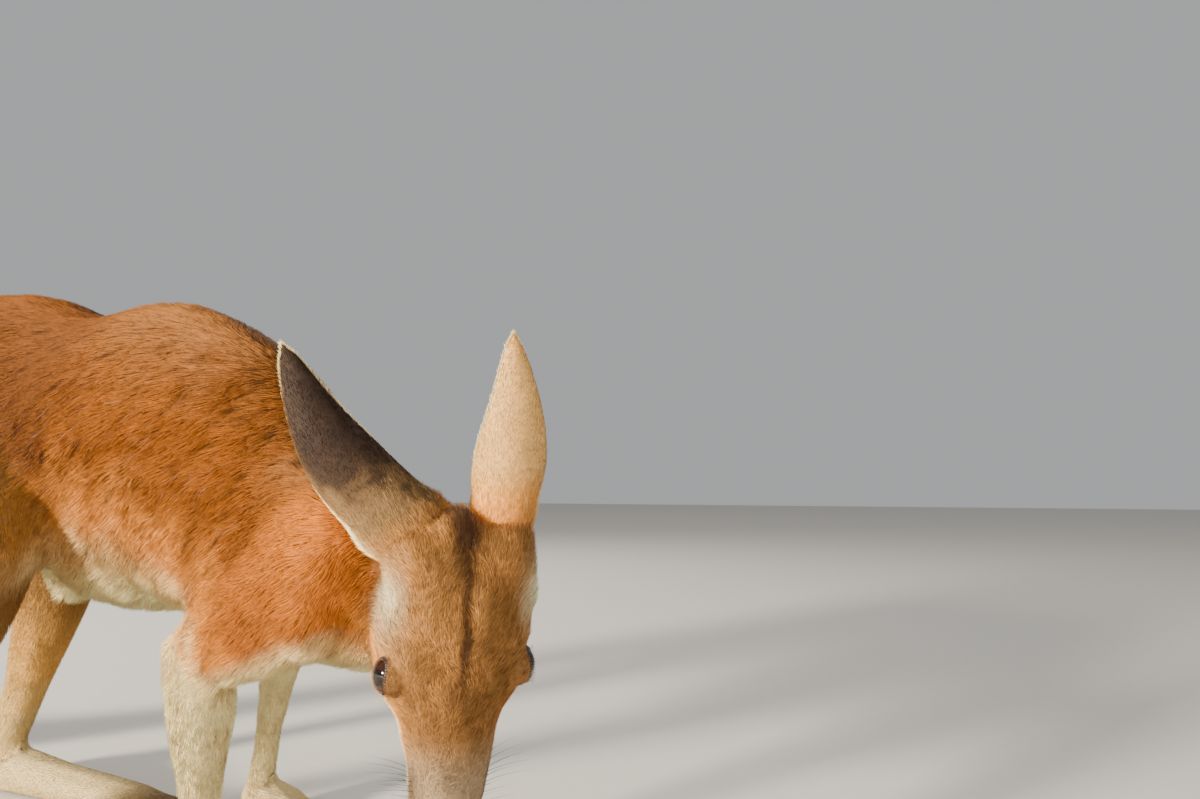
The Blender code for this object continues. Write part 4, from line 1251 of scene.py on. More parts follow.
@dataclass
class Tufts:
    """Thin three-sided tufts: where they stand, how they lie and what colour they are."""

    roots: Array
    normals: Array
    lie: Array
    length: Array
    width: Array
    lift: Array
    colours: Array
    bake: Array
    room: float                 # skin area for each tuft
    clump_size: float
    clump_share: float

    def gathered_tips(self, tips: Array, seed: int) -> Array:
        """Draws the tips of neighbouring tufts together into pointed locks.

        Args:
            tips: where the tips would be.
            seed: fixes which tufts lead.

        Returns:
            The new tips.
        """
        if self.clump_share <= 0:
            return tips
        chance = np.random.default_rng(seed)
        per_lock = max(2, int(LOCK_AREA * self.clump_size ** 2 / self.room))
        leaders = chance.choice(len(tips), max(1, len(tips) // per_lock), replace=False)
        nearest = nearest_of(self.roots[leaders], self.roots)
        led_root, led_tip = self.roots[leaders][nearest], tips[leaders][nearest]
        close = np.linalg.norm(self.roots - led_root, axis=1) < self.clump_size * LOCK_REACH
        agree = (self.lie * self.lie[leaders][nearest]).sum(1) > 0.5
        pull = self.clump_share * (close & agree) * chance.uniform(0.6, 1.0, len(tips))
        return tips + (led_tip - tips) * pull[:, None]

    def grown(self, name: str, seed: int, form: TuftForm) -> bpy.types.Object:
        """Builds the tufts as one object.

        Args:
            name: the object's name.
            seed: fixes what is random.
            form: the shape of each tuft.

        Returns:
            The object, whose mesh has its colours and its bake map.
        """
        side = np.cross(self.normals, self.lie)
        flat, rise = np.cos(self.lift)[:, None], np.sin(self.lift)[:, None]
        reach = self.length[:, None]
        tips = self.roots + (self.lie * flat + self.normals * rise) * reach
        tips = self.gathered_tips(tips, seed)
        base = self.roots - self.normals * ROOT_SINK
        wide = (self.width / 2)[:, None]
        left = base - side * wide
        right = base + side * wide
        ridge = base + self.normals * wide * 1.1 + self.lie * wide * 0.5
        rows = [left, right, ridge]
        if form is BENT:
            middle = (left + right) / 2
            knee = middle + (tips - middle) * 0.55 + self.normals * (self.length * 0.07)[:, None]
            rows += [knee + (corner - middle) * 0.72 for corner in (left, right, ridge)]
        corners = np.stack(rows + [tips], 1)
        count, size = corners.shape[:2]
        pattern, painted_shades = np.array(form.faces), np.array(form.painted_shades)
        faces = (np.arange(count)[:, None, None] * size + pattern).reshape(-1, 3)
        mesh = mesh_from(name, corners.reshape(-1, 3), faces)
        # painted shade: each tuft is darker at its root, where the coat around it shades it, and
        # lighter at its tip
        store_colour(mesh, (self.colours[:, None] * painted_shades[:, None]).reshape(-1, 3))
        patch = self.bake[:, None, None] + np.array(form.spots)[pattern] * BAKE_PATCH
        layer = mesh.uv_layers.new(name=BAKE_MAP)
        layer.data.foreach_set("uv", np.clip(patch, 0, 1).astype(np.float32).ravel())
        return new_object(name, mesh)


@dataclass(frozen=True)
class CoatPlan:
    """How dense and how fine the coat of one region is."""

    region: Region
    spacing: float
    width: float
    clump_size: float
    clump_share: float
    spread: float
    dimples: float = 0.0
    longer_below: float = 0.0
    unevenness: float = 0.10


COAT_PLANS = (
    CoatPlan(Region.HEAD, 0.86 * MM, 0.55 * MM, 2.8 * MM, 0.50, 0.26, unevenness=0.26),
    CoatPlan(Region.NECK, 1.00 * MM, 0.75 * MM, 4.0 * MM, 0.45, 0.18, 0.5, 0.2),
    CoatPlan(Region.CHEST, 1.00 * MM, 0.78 * MM, 5.2 * MM, 0.60, 0.15, 1.0, 0.45, 0.17),
    CoatPlan(Region.BELLY, 1.03 * MM, 0.80 * MM, 5.2 * MM, 0.60, 0.15, 1.0, 0.45, 0.17),
    CoatPlan(Region.LOIN, 1.10 * MM, 0.82 * MM, 5.2 * MM, 0.60, 0.15, 0.8, 0.35, 0.17),
    CoatPlan(Region.RUMP, 1.15 * MM, 0.85 * MM, 4.2 * MM, 0.50, 0.15, 0.4, 0.0, 0.13),
    CoatPlan(Region.THIGHS, 1.12 * MM, 0.82 * MM, 4.2 * MM, 0.50, 0.15, 0.4, 0.2, 0.15),
    CoatPlan(Region.TAIL, 1.55 * MM, 1.00 * MM, 3.5 * MM, 0.40, 0.12),
    CoatPlan(Region.ARMS, 1.05 * MM, 0.74 * MM, 3.6 * MM, 0.50, 0.16, 0.6, 0.3),
    CoatPlan(Region.HANDS, 0.95 * MM, 0.60 * MM, 2.0 * MM, 0.30, 0.16),
    CoatPlan(Region.SHINS, 1.08 * MM, 0.74 * MM, 3.0 * MM, 0.40, 0.14),
    CoatPlan(Region.FEET, 1.15 * MM, 0.72 * MM, 2.4 * MM, 0.30, 0.14),
)
LOWEST_ROOT = 0.6 * MM
SHADE_SPAN = (0.22, 1.45)       # the darkest and lightest tufts, against the markings
DIMPLE_SPACING = 15.0 * MM      # between the partings where clumps of guard hair separate
DIMPLE_LENGTH = 8.0 * MM
DIMPLE_WIDTH = 2.3 * MM


def dimples(points: Array, normals: Array, lie: Array, spacing: float, seed: int) -> Array:
    """Short partings along the coat's lie, scattered over it, inside which the coat is darkened as
    painted shade.

    Args:
        points: the roots.
        normals: the skin's normals there.
        lie: the coat's lie there.
        spacing: the distance between roots.
        seed: fixes where the partings are.

    Returns:
        1 in the middle of a parting, 0 away from it.
    """
    chance = np.random.default_rng(seed + 900)
    count = max(2, int(len(points) * POISSON_ROOM * spacing ** 2 / DIMPLE_SPACING ** 2))
    sites = chance.choice(len(points), count, replace=False)
    nearest = nearest_of(points[sites], points)
    strength = (chance.uniform(0.25, 1.0, count) ** 1.5)[nearest]
    size = chance.uniform(0.7, 1.3, count)[nearest]
    away = points - points[sites][nearest]
    along = (away * lie[sites][nearest]).sum(1)
    across = (away * np.cross(normals, lie)[sites][nearest]).sum(1)
    along, across = along / (DIMPLE_LENGTH * size), across / (DIMPLE_WIDTH * size)
    return strength * np.exp(-along ** 2 - across ** 2)


class Scatter:
    """Evenly spread roots on a surface, by a Geometry Nodes tree."""

    def __init__(self, fur: bpy.types.Material) -> None:
        """Builds the tree once, with inputs for the surface, the spacing and the seed.

        Args:
            fur: the material of what grows from the roots.
        """
        tree = bpy.data.node_groups.new("roots on skin", "GeometryNodeTree")
        face = tree.interface
        face.new_socket("Skin", in_out="INPUT", socket_type="NodeSocketGeometry")
        spacing = face.new_socket("Spacing", in_out="INPUT", socket_type="NodeSocketFloat")
        density = face.new_socket("Roots per square metre", in_out="INPUT",
                                  socket_type="NodeSocketFloat")
        seed = face.new_socket("Seed", in_out="INPUT", socket_type="NodeSocketInt")
        face.new_socket("Roots", in_out="OUTPUT", socket_type="NodeSocketGeometry")
        self.sockets = {"spacing": spacing.identifier, "density": density.identifier,
                        "seed": seed.identifier}
        given = add_node(tree, "NodeGroupInput")
        spread = add_node(tree, "GeometryNodeDistributePointsOnFaces",
                          {"distribute_method": "POISSON"},
                          {"Mesh": given.outputs["Skin"], "Distance Min": given.outputs["Spacing"],
                           "Density Max": given.outputs["Roots per square metre"],
                           "Seed": given.outputs["Seed"]})
        kept = add_node(tree, "GeometryNodeStoreNamedAttribute",
                        {"data_type": "FLOAT_VECTOR", "domain": "POINT", "Name": "root_normal"},
                        {"Geometry": spread.outputs["Points"], "Value": spread.outputs["Normal"]})
        verts = add_node(tree, "GeometryNodePointsToVertices", {}, {"Points": kept.outputs[0]})
        real = add_node(tree, "GeometryNodeRealizeInstances", {}, {"Geometry": verts.outputs[0]})
        furred = add_node(tree, "GeometryNodeSetMaterial", {}, {"Geometry": real.outputs[0]})
        furred.inputs["Material"].default_value = fur
        add_node(tree, "NodeGroupOutput", {}, {0: furred.outputs[0]})
        self.tree = tree

    def roots(self, surface: bpy.types.Object, spacing: float, seed: int) -> tuple[Array, Array]:
        """Spreads roots over a surface.

        Args:
            surface: the object to spread them on.
            spacing: the least distance between two roots.
            seed: fixes the spread.

        Returns:
            The roots and the normals there.
        """
        modifier = surface.modifiers.new("roots", "NODES")
        modifier.node_group = self.tree
        modifier[self.sockets["spacing"]] = spacing
        modifier[self.sockets["density"]] = ROOTS_OFFERED / spacing ** 2
        modifier[self.sockets["seed"]] = seed
        mesh = baked(surface)
        surface.modifiers.remove(modifier)
        return corners_of(mesh), unit(read_rows(mesh.attributes["root_normal"].data, "vector"))


class Coat:
    """All the coat's tufts, region by region."""

    def __init__(self, anatomy: Anatomy, markings: Markings, scatter: Scatter) -> None:
        """Keeps what the coat is made from."""
        self.anatomy = anatomy
        self.markings = markings
        self.scatter = scatter
        self.region_of_bone = [bone.region for bone in anatomy.bones]

    def region_surface(self, skin: bpy.types.Object, region: Region) -> bpy.types.Object | None:
        """The part of the skin that belongs to one region, as a helper object."""
        mesh = skin.data.copy()
        points = corners_of(mesh)
        weights, _ = self.anatomy.nearness(points)
        of_bone = np.array([kind is region for kind in self.region_of_bone])
        mine = of_bone[weights.argmax(1)]
        bm = bmesh.new()
        bm.from_mesh(mesh)
        bm.verts.ensure_lookup_table()
        far = [f for f in bm.faces if not mine[f.verts[0].index]]
        bmesh.ops.delete(bm, geom=far, context="FACES")
        bm.to_mesh(mesh)
        bm.free()
        return new_object(f"surface_{region.value}", mesh)

    def bake_places(self, points: Array, weights: Array, region: Region) -> Array:
        """Each root's place on an unwrap of the skin round the region's own bones.

        Args:
            points: the roots.
            weights: the bones' weights there.
            region: the region unwrapped.

        Returns:
            Places in the unit square, with a chart for each bone side by side.
        """
        mine = [i for i, kind in enumerate(self.region_of_bone) if kind is region]
        nearest = np.array(mine)[weights[:, mine].argmax(1)]
        chart = np.searchsorted(mine, nearest)
        run = unit(self.anatomy.run)[nearest]
        away = points - self.anatomy.start[nearest]
        sideways = unit(np.cross(run, np.array([0.13, 0.09, 0.99])))
        upwards = np.cross(sideways, run)
        angle = np.arctan2((away * upwards).sum(1), (away * sideways).sum(1)) / (2 * math.pi) + 0.5
        reach = (away * run).sum(1) / np.linalg.norm(self.anatomy.run[nearest], axis=1)
        height = np.clip(reach * 0.7 + 0.15, 0, 1)
        width = 1 / len(mine)
        return np.stack([(chart + 0.01 + 0.98 * angle) * width, height], 1) * (1 - 2 * BAKE_PATCH)

    def grow(self, skin: bpy.types.Object, plan: CoatPlan, seed: int) -> bpy.types.Object:
        """Grows the coat of one region.

        Args:
            skin: the whole skin.
            plan: how dense and fine the coat is.
            seed: fixes what is random.

        Returns:
            The coat's object.
        """
        chance = np.random.default_rng(seed)
        surface = self.region_surface(skin, plan.region)
        points, normals = self.scatter.roots(surface, plan.spacing, seed)
        drop(surface)
        keep = bare_skin(points, normals) < chance.uniform(0.25, 0.75, len(points))
        keep &= points[:, 2] > LOWEST_ROOT
        points, normals = points[keep], normals[keep]
        weights, shares = self.anatomy.nearness(points)
        count = len(points)
        lie = self.ruffled(points, normals, self.anatomy.lie_at(weights, normals), plan, chance)
        length = (weights @ self.anatomy.tuft_length) * chance.uniform(0.72, 1.20, count)
        depth = (weights @ self.anatomy.coat_depth) * chance.uniform(0.75, 1.10, count)
        length, depth = self.trim(points, length, depth)
        lift = np.arcsin(np.clip(depth / length, 0.05, 0.7))
        shade = 1 + chance.normal(0, plan.unevenness, count) + 0.07 * soft_noise(points, 7 * MM, 23)
        shown = points + lie * (0.6 * length)[:, None]
        dimple = plan.dimples * dimples(shown, normals, lie, plan.spacing, seed)
        below = plan.longer_below * smooth_step(-0.25, -0.75, normals[:, 2])
        # painted shade: tufts in a parting are darkened as the shade that falls into it
        shade = np.clip(shade * (1 - 0.85 * dimple), *SHADE_SPAN)
        tufts = Tufts(
            roots=points, normals=normals, lie=lie,
            length=length * (1 - 0.25 * dimple) * (1 + below),
            width=chance.uniform(0.75, 1.25, count) * plan.width,
            lift=lift * (1 - 0.60 * dimple) + 0.22 * below,
            colours=self.markings.at(points, normals, weights, shares) * shade[:, None],
            bake=self.bake_places(points, weights, plan.region),
            room=plan.spacing ** 2 * POISSON_ROOM,
            clump_size=plan.clump_size, clump_share=plan.clump_share)
        return tufts.grown(f"coat_{plan.region.value}", seed, STRAIGHT)

    def ruffled(self, points: Array, normals: Array, lie: Array, plan: CoatPlan,
                chance: np.random.Generator) -> Array:
        """The coat's lie with its swirls and with every tuft a little off it."""
        swirl = soft_noise(points, 26 * MM, 7)[:, None] * plan.spread * 1.5
        jitter = chance.normal(0, plan.spread * 0.6, (len(points), 3))
        return along_surface(lie + np.cross(normals, lie) * swirl + jitter, normals)

    def trim(self, points: Array, length: Array, depth: Array) -> tuple[Array, Array]:
        """Shortens the coat round the eyes and near the floor."""
        for sign in SIGNS:
            _, distance = inside_opening(points, sign)
            near = smooth_step(EYE_RADIUS + 9 * MM, EYE_RADIUS + 1 * MM, distance)
            length = length * (1 - 0.40 * near)
            depth = depth * (1 - 0.40 * near)
        low = smooth_step(14 * MM, 2 * MM, points[:, 2])
        return length * (1 - 0.35 * low), depth * (1 - 0.6 * low)


# ---- finishes -----------------------------------------------------------------------------------
def object_place(tree: bpy.types.NodeTree) -> bpy.types.NodeSocket:
    """The object's own coordinates, in metres."""
    return add_node(tree, "ShaderNodeTexCoord").outputs["Object"]


def attribute(tree: bpy.types.NodeTree, name: str, output: str = "Fac") -> bpy.types.NodeSocket:
    """A stored attribute of the mesh."""
    return add_node(tree, "ShaderNodeAttribute", {"attribute_name": name}).outputs[output]


def ramp(tree: bpy.types.NodeTree, factor: bpy.types.NodeSocket,
         stops: tuple[tuple[float, Array], ...]) -> bpy.types.NodeSocket:
    """A colour ramp.

    Args:
        tree: the tree that gets the ramp.
        factor: what drives it.
        stops: positions in rising order, with their linear colours.

    Returns:
        The ramp's colour.
    """
    node = add_node(tree, "ShaderNodeValToRGB", {}, {"Fac": factor})
    elements = node.color_ramp.elements
    while len(elements) < len(stops):
        elements.new(1.0)
    for element, (position, colour) in zip(elements, stops):
        element.position, element.color = position, (*colour, 1)
    return node.outputs["Color"]


def streaked(tree: bpy.types.NodeTree, factor: bpy.types.NodeSocket, span: tuple[float, float],
             swing: tuple[float, float]) -> bpy.types.NodeSocket:
    """The stored coat colour, made lighter and darker by a pattern.

    Args:
        tree: the tree that gets the nodes.
        factor: the pattern.
        span: the pattern's values that are stretched out.
        swing: what the colour is multiplied by at the two ends.

    Returns:
        The colour.
    """
    strength = add_node(tree, "ShaderNodeMapRange",
                        {"From Min": span[0], "From Max": span[1], "To Min": swing[0],
                         "To Max": swing[1]}, {"Value": factor})
    tinted = add_node(tree, "ShaderNodeMix",
                      {"data_type": "RGBA", "blend_type": "MULTIPLY", "Factor": 1.0},
                      {6: attribute(tree, COLOUR_NAME, "Color"), 7: strength.outputs["Result"]})
    return tinted.outputs[2]


def bump(tree: bpy.types.NodeTree, height: bpy.types.NodeSocket, strength: float,
         distance: float) -> bpy.types.NodeSocket:
    """A bumped normal from a height, with the bumps' depth in metres."""
    return add_node(tree, "ShaderNodeBump", {"Strength": strength, "Distance": distance},
                    {"Height": height}).outputs["Normal"]


class Finish:
    """A material; each kind says what drives its shader and what is fixed."""

    name: str

    def driven(self, tree: bpy.types.NodeTree) -> dict[str, bpy.types.NodeSocket]:
        """What is linked to the shader, by input name."""
        raise NotImplementedError

    def fixed(self) -> dict[str, float]:
        """The shader's constants, by input name."""
        raise NotImplementedError

    def material(self) -> bpy.types.Material:
        """Makes the material.

        Returns:
            A material of one principled shader.
        """
        material = bpy.data.materials.new(self.name)
        material.use_nodes = True
        tree = material.node_tree
        shader = tree.nodes["Principled BSDF"]
        for key, socket in self.driven(tree).items():
            tree.links.new(socket, shader.inputs[key])
        for key, value in self.fixed().items():
            shader.inputs[key].default_value = value
        return material


@dataclass(frozen=True)
class FurFinish(Finish):
    """Guard hair over underfur: dull, with a soft sheen at grazing light."""

    name: str = "kangaroo guard hair"
    roughness: float = 0.70
    specular: float = 0.08
    sheen: float = 0.01
    hair_pitch: float = 1.4 * MM        # drawn coarser than hair so that it shows
    colour_swing: float = 0.16

    def driven(self, tree: bpy.types.NodeTree) -> dict[str, bpy.types.NodeSocket]:
        """The stored coat colour with fine streaks, and their relief."""
        grain = add_node(tree, "ShaderNodeTexNoise",
                         {"Scale": 1 / (self.hair_pitch * 2), "Detail": 3.0, "Roughness": 0.6},
                         {"Vector": object_place(tree)}).outputs["Fac"]
        swing = (1 - self.colour_swing, 1 + self.colour_swing)
        return {"Base Color": streaked(tree, grain, (0.3, 0.7), swing),
                "Normal": bump(tree, grain, 0.35, 0.4 * MM)}

    def fixed(self) -> dict[str, float]:
        """Dull, with hardly any sheen."""
        return {"Roughness": self.roughness, "Specular IOR Level": self.specular,
                "Sheen Weight": self.sheen, "Sheen Roughness": 0.5}


@dataclass(frozen=True)
class SkinFinish(Finish):
    """Skin under fur: dull where hair grows, leathery with fine pebbling where bare."""

    name: str = "kangaroo skin"
    pebble: float = 1.1 * MM
    down: float = 2.2 * MM
    furred_roughness: float = 0.80
    bare_roughness: float = 0.42

    def driven(self, tree: bpy.types.NodeTree) -> dict[str, bpy.types.NodeSocket]:
        """The stored colour, with down where furred and pebbles where bare."""
        bare, place = attribute(tree, BARE_NAME), object_place(tree)
        cells = add_node(tree, "ShaderNodeTexVoronoi", {"Scale": 1 / self.pebble},
                         {"Vector": place})
        down = add_node(tree, "ShaderNodeTexNoise", {"Scale": 1 / self.down, "Detail": 3.0},
                        {"Vector": place}).outputs["Fac"]
        height = add_node(tree, "ShaderNodeMix", {"data_type": "FLOAT"},
                          {"Factor": bare, 2: down, 3: cells.outputs["Distance"]})
        gloss = add_node(tree, "ShaderNodeMapRange",
                         {"To Min": self.furred_roughness, "To Max": self.bare_roughness},
                         {"Value": bare})
        return {"Base Color": streaked(tree, down, (0.2, 0.8), (0.80, 1.18)),
                "Roughness": gloss.outputs["Result"],
                "Normal": bump(tree, height.outputs[0], 0.5, 0.3 * MM)}

    def fixed(self) -> dict[str, float]:
        """A little less mirror-like than wet skin."""
        return {"Specular IOR Level": 0.35}


@dataclass(frozen=True)
class EyeFinish(Finish):
    """A wet dark eye: black pupil in a deep brown iris under a clear cornea."""

    name: str = "wet kangaroo eye"
    pupil: float = 0.002        # how much light it gives back
    iris: str = "#26130A"
    rim: str = "#120A06"

    def driven(self, tree: bpy.types.NodeTree) -> dict[str, bpy.types.NodeSocket]:
        """Rings of colour round the pupil."""
        iris = linear(self.iris)
        rings = ((0.30, np.full(3, self.pupil)), (0.38, iris), (0.62, iris), (0.74, linear(self.rim)))
        return {"Base Color": ramp(tree, attribute(tree, PUPIL_NAME), rings)}

    def fixed(self) -> dict[str, float]:
        """The cornea's wetness."""
        return {"Roughness": 0.06, "IOR": 1.376, "Coat Weight": 0.35, "Coat Roughness": 0.02}


@dataclass(frozen=True)
class HornFinish(Finish):
    """Claw horn: dark and polished by wear, with fine lengthwise streaks."""

    name: str = "claw horn"
    dark: str = "#1C1713"
    light: str = "#4A3E33"
    streaks: tuple[float, float, float] = (900.0, 120.0, 900.0)     # waves in a metre

    def driven(self, tree: bpy.types.NodeTree) -> dict[str, bpy.types.NodeSocket]:
        """Streaks along the claw, in colour and relief."""
        squeezed = add_node(tree, "ShaderNodeMapping", {"Scale": self.streaks},
                            {"Vector": object_place(tree)})
        streak = add_node(tree, "ShaderNodeTexNoise", {"Scale": 1.0, "Detail": 4.0},
                          {"Vector": squeezed.outputs["Vector"]}).outputs["Fac"]
        stops = ((0.35, linear(self.dark)), (0.80, linear(self.light)))
        return {"Base Color": ramp(tree, streak, stops), "Normal": bump(tree, streak, 0.3, 0.1 * MM)}

    def fixed(self) -> dict[str, float]:
        """Worn smooth."""
        return {"Roughness": 0.34, "IOR": 1.54}


@dataclass(frozen=True)
class PlainFinish(Finish):
    """An even matt finish with a faint unevenness, for the studio floor and for hairs."""

    name: str
    colour: str
    roughness: float = 0.9

    def driven(self, tree: bpy.types.NodeTree) -> dict[str, bpy.types.NodeSocket]:
        """One colour, a little lighter and darker in places."""
        grain = add_node(tree, "ShaderNodeTexNoise", {"Scale": 40.0, "Detail": 2.0},
                         {"Vector": object_place(tree)})
        tone = linear(self.colour)
        stops = ((0.0, tone * 0.97), (1.0, np.clip(tone * 1.03, 0, 1)))
        return {"Base Color": ramp(tree, grain.outputs["Fac"], stops)}

    def fixed(self) -> dict[str, float]:
        """Matt."""
        return {"Roughness": self.roughness, "Specular IOR Level": 0.2}


# ---- eyes, lids, claws, whiskers ----------------------------------------------------------------
@dataclass
class Eye:
    """One eyeball with its wet cornea."""

    side: Side
    finish: EyeFinish

    @property
    def sign(self) -> int:
        """1 on the right, -1 on the left."""
        return 1 if self.side is Side.RIGHT else -1

    def build(self) -> bpy.types.Object:
        """Builds the eyeball, bulged a little at the cornea."""
        bm = bmesh.new()
        bmesh.ops.create_uvsphere(bm, u_segments=48, v_segments=32, radius=1.0)
        mesh = mesh_of(bm, f"eyeball_{self.side.value}")
        rays = corners_of(mesh)
        long_way, across, out = (np.array(axis) for axis in eye_axes(self.sign))
        bulge = 1 + 0.045 * smooth_step(0.62, 0.95, rays[:, 2])
        turned = rays[:, :1] * long_way + rays[:, 1:2] * across + rays[:, 2:] * out
        set_corners(mesh, np.array(eye_middle(self.sign))
                    + turned * (bulge * (EYE_RADIUS - 0.1 * MM))[:, None])
        from_pupil = np.sqrt((rays[:, 0] / 1.15) ** 2 + rays[:, 1] ** 2)
        store_number(mesh, PUPIL_NAME, np.where(rays[:, 2] > 0, from_pupil, 1.0))
        turn_faces_out(mesh)
        mesh.materials.append(self.finish.material())
        return new_object(f"eyeball_{self.side.value}", mesh)

    def lid_rim(self) -> tuple[Array, Array]:
        """The dark rim of the lids, a soft tube along the opening's edge.

        Returns:
            Corners and four-cornered faces.
        """
        long_way, across, out = (np.array(axis) for axis in eye_axes(self.sign))
        steps, round_steps = 56, 8
        angle = np.linspace(0, 2 * math.pi, steps, endpoint=False)
        x, y = opening_at(angle)
        z = np.sqrt(np.clip(1 - x ** 2 - y ** 2, 0.01, 1))
        ray = x[:, None] * long_way + y[:, None] * across + z[:, None] * out
        centre = np.array(eye_middle(self.sign)) + ray * (EYE_RADIUS + 0.35 * MM)
        tangent = unit(np.roll(centre, -1, 0) - np.roll(centre, 1, 0))
        aside = np.cross(tangent, ray)
        thick = (0.72 + 0.30 * np.clip(np.sin(angle), 0, 1)) * MM
        turn = np.linspace(0, 2 * math.pi, round_steps, endpoint=False)
        rings = (centre[:, None] + aside[:, None] * (np.cos(turn)[None] * thick[:, None])[..., None]
                 + ray[:, None] * (np.sin(turn)[None] * thick[:, None] * 0.85)[..., None])
        index = np.arange(steps * round_steps).reshape(steps, round_steps)
        after, around = np.roll(index, -1, 0), np.roll(index, -1, 1)
        both = np.roll(after, -1, 1)
        faces = np.stack([index, around, both, after], -1).reshape(-1, 4)
        return rings.reshape(-1, 3), faces


def hairs(name: str, roots: Array, tips: Array, bend: Array, thick: float,
          finish: PlainFinish) -> bpy.types.Object:
    """Long single hairs, each a tapered three-sided thread.

    Args:
        name: the object's name.
        roots: where they start.
        tips: where they end.
        bend: how far the middle of each is moved.
        thick: their thickness at the root.
        finish: their finish.

    Returns:
        The hairs' object.
    """
    levels = np.linspace(0, 1, 7)
    run = unit(tips - roots)
    side = unit(np.cross(run, np.array([0.31, 0.17, 0.93])))
    other = np.cross(run, side)
    rows = []
    for level in levels:
        centre = roots + (tips - roots) * level + bend * math.sin(math.pi * level) * (1 - 0.3 * level)
        size = thick / 2 * (1 - 0.92 * level)
        for k in range(3):
            angle = 2 * math.pi * k / 3
            rows.append(centre + side * size * math.cos(angle) + other * size * math.sin(angle))
    corners = np.stack(rows, 1)
    count, per = corners.shape[:2]
    pattern = []
    for level in range(len(levels) - 1):
        for k in range(3):
            a, b = level * 3 + k, level * 3 + (k + 1) % 3
            pattern.append((a, b, b + 3, a + 3))
    faces = (np.arange(count)[:, None, None] * per + np.array(pattern)[None]).reshape(-1, 4)
    mesh = mesh_from(name, corners.reshape(-1, 3), faces)
    mesh.materials.append(finish.material())
    return new_object(name, mesh)


WHISKER_ROWS, WHISKER_COLUMNS = 4, 4


def whiskers() -> bpy.types.Object:
    """The stiff hairs on the muzzle's sides."""
    chance = np.random.default_rng(SEED + 5)
    roots, tips, bends = [], [], []
    for sign in SIGNS:
        for row in range(WHISKER_ROWS):
            for column in range(WHISKER_COLUMNS):
                along = 0.80 + 0.035 * column
                root = head_point(along, sign * (0.0215 - 0.0035 * column - 0.0012 * row),
                                  0.006 - 0.0045 * row)
                way = (HEAD_RIGHT * sign * (0.85 - 0.05 * column) - HEAD_DOWN * 0.25
                       + FOREHEAD * (0.25 - 0.2 * row)).normalized()
                length = chance.uniform(22, 38) * MM
                roots.append(root)
                tips.append(root + way * length)
                bends.append(-HEAD_DOWN * length * 0.06)
    return hairs("whiskers", np.array(roots), np.array(tips), np.array(bends), 0.42 * MM,
                 PlainFinish("whisker hair", "#2B211A", 0.45))


LASH_SPAN = (0.35, 2.75)        # angles round the opening, from its inner corner
LASHES = 17


def lashes() -> bpy.types.Object:
    """The lashes of the upper lids."""
    roots, tips, bends = [], [], []
    for sign in SIGNS:
        long_way, across, out = eye_axes(sign)
        for angle in np.linspace(*LASH_SPAN, LASHES):
            x, y = opening_at(np.array([angle]))
            z = math.sqrt(max(1 - x[0] ** 2 - y[0] ** 2, 0.01))
            ray = long_way * x[0] + across * y[0] + out * z
            root = eye_middle(sign) + ray * (EYE_RADIUS + 1.2 * MM)
            way = (across * 0.8 + out * 0.6 + long_way * x[0] * 0.5).normalized()
            roots.append(root)
            tips.append(root + way * 7 * MM)
            bends.append(out * 1.2 * MM)
    return hairs("lashes", np.array(roots), np.array(tips), np.array(bends), 0.45 * MM,
                 PlainFinish("lash hair", "#1B1410", 0.5))


FLAT_ANGLE = math.radians(3)
CLAW_SWELL = 1.06               # rounding shrinks a claw, so it starts larger


def smooth_claw(node: str, material: bpy.types.Material) -> bpy.types.Object:
    """A claw with the CAD claw's shape, rounded.

    Args:
        node: the CAD claw's name.
        material: its horn.

    Returns:
        The claw's object.
    """
    bm = bmesh.new()
    bm.from_mesh(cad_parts[node].data)
    bmesh.ops.remove_doubles(bm, verts=bm.verts, dist=DOUBLES)
    bmesh.ops.dissolve_limit(bm, angle_limit=FLAT_ANGLE, verts=bm.verts, edges=bm.edges)
    middle = sum((v.co for v in bm.verts), Vector()) / len(bm.verts)
    for vert in bm.verts:
        vert.co = middle + (vert.co - middle) * CLAW_SWELL
        vert.co.z = max(vert.co.z, 0.1 * MM)
    rough = new_object("claw_rough", mesh_of(bm, "claw"))
    rounded = rough.modifiers.new("round", "SUBSURF")
    rounded.levels = rounded.render_levels = 2
    smooth = baked(rough)
    drop(rough)
    smooth.shade_smooth()
    smooth.materials.clear()
    smooth.materials.append(material)
    return new_object(node.replace("claw_", "horn_"), smooth)


# ---- studio -------------------------------------------------------------------------------------
@dataclass(frozen=True)
class Lamp:
    """A soft square lamp: where it hangs from the animal's middle, its edge, watts and colour."""

    name: str
    away: tuple[float, float, float]
    size: float
    power: float
    colour: tuple[float, float, float]


LAMPS = (
    Lamp("key", (-4.5, 1.7, 1.15), 0.7, 1080, (1.0, 0.90, 0.74)),
    Lamp("fill", (-1.5, -2.6, 0.35), 2.0, 54, (1.0, 0.95, 0.86)),
    Lamp("rim", (2.0, 1.6, 2.4), 2.0, 75, (1.0, 0.97, 0.92)),
)


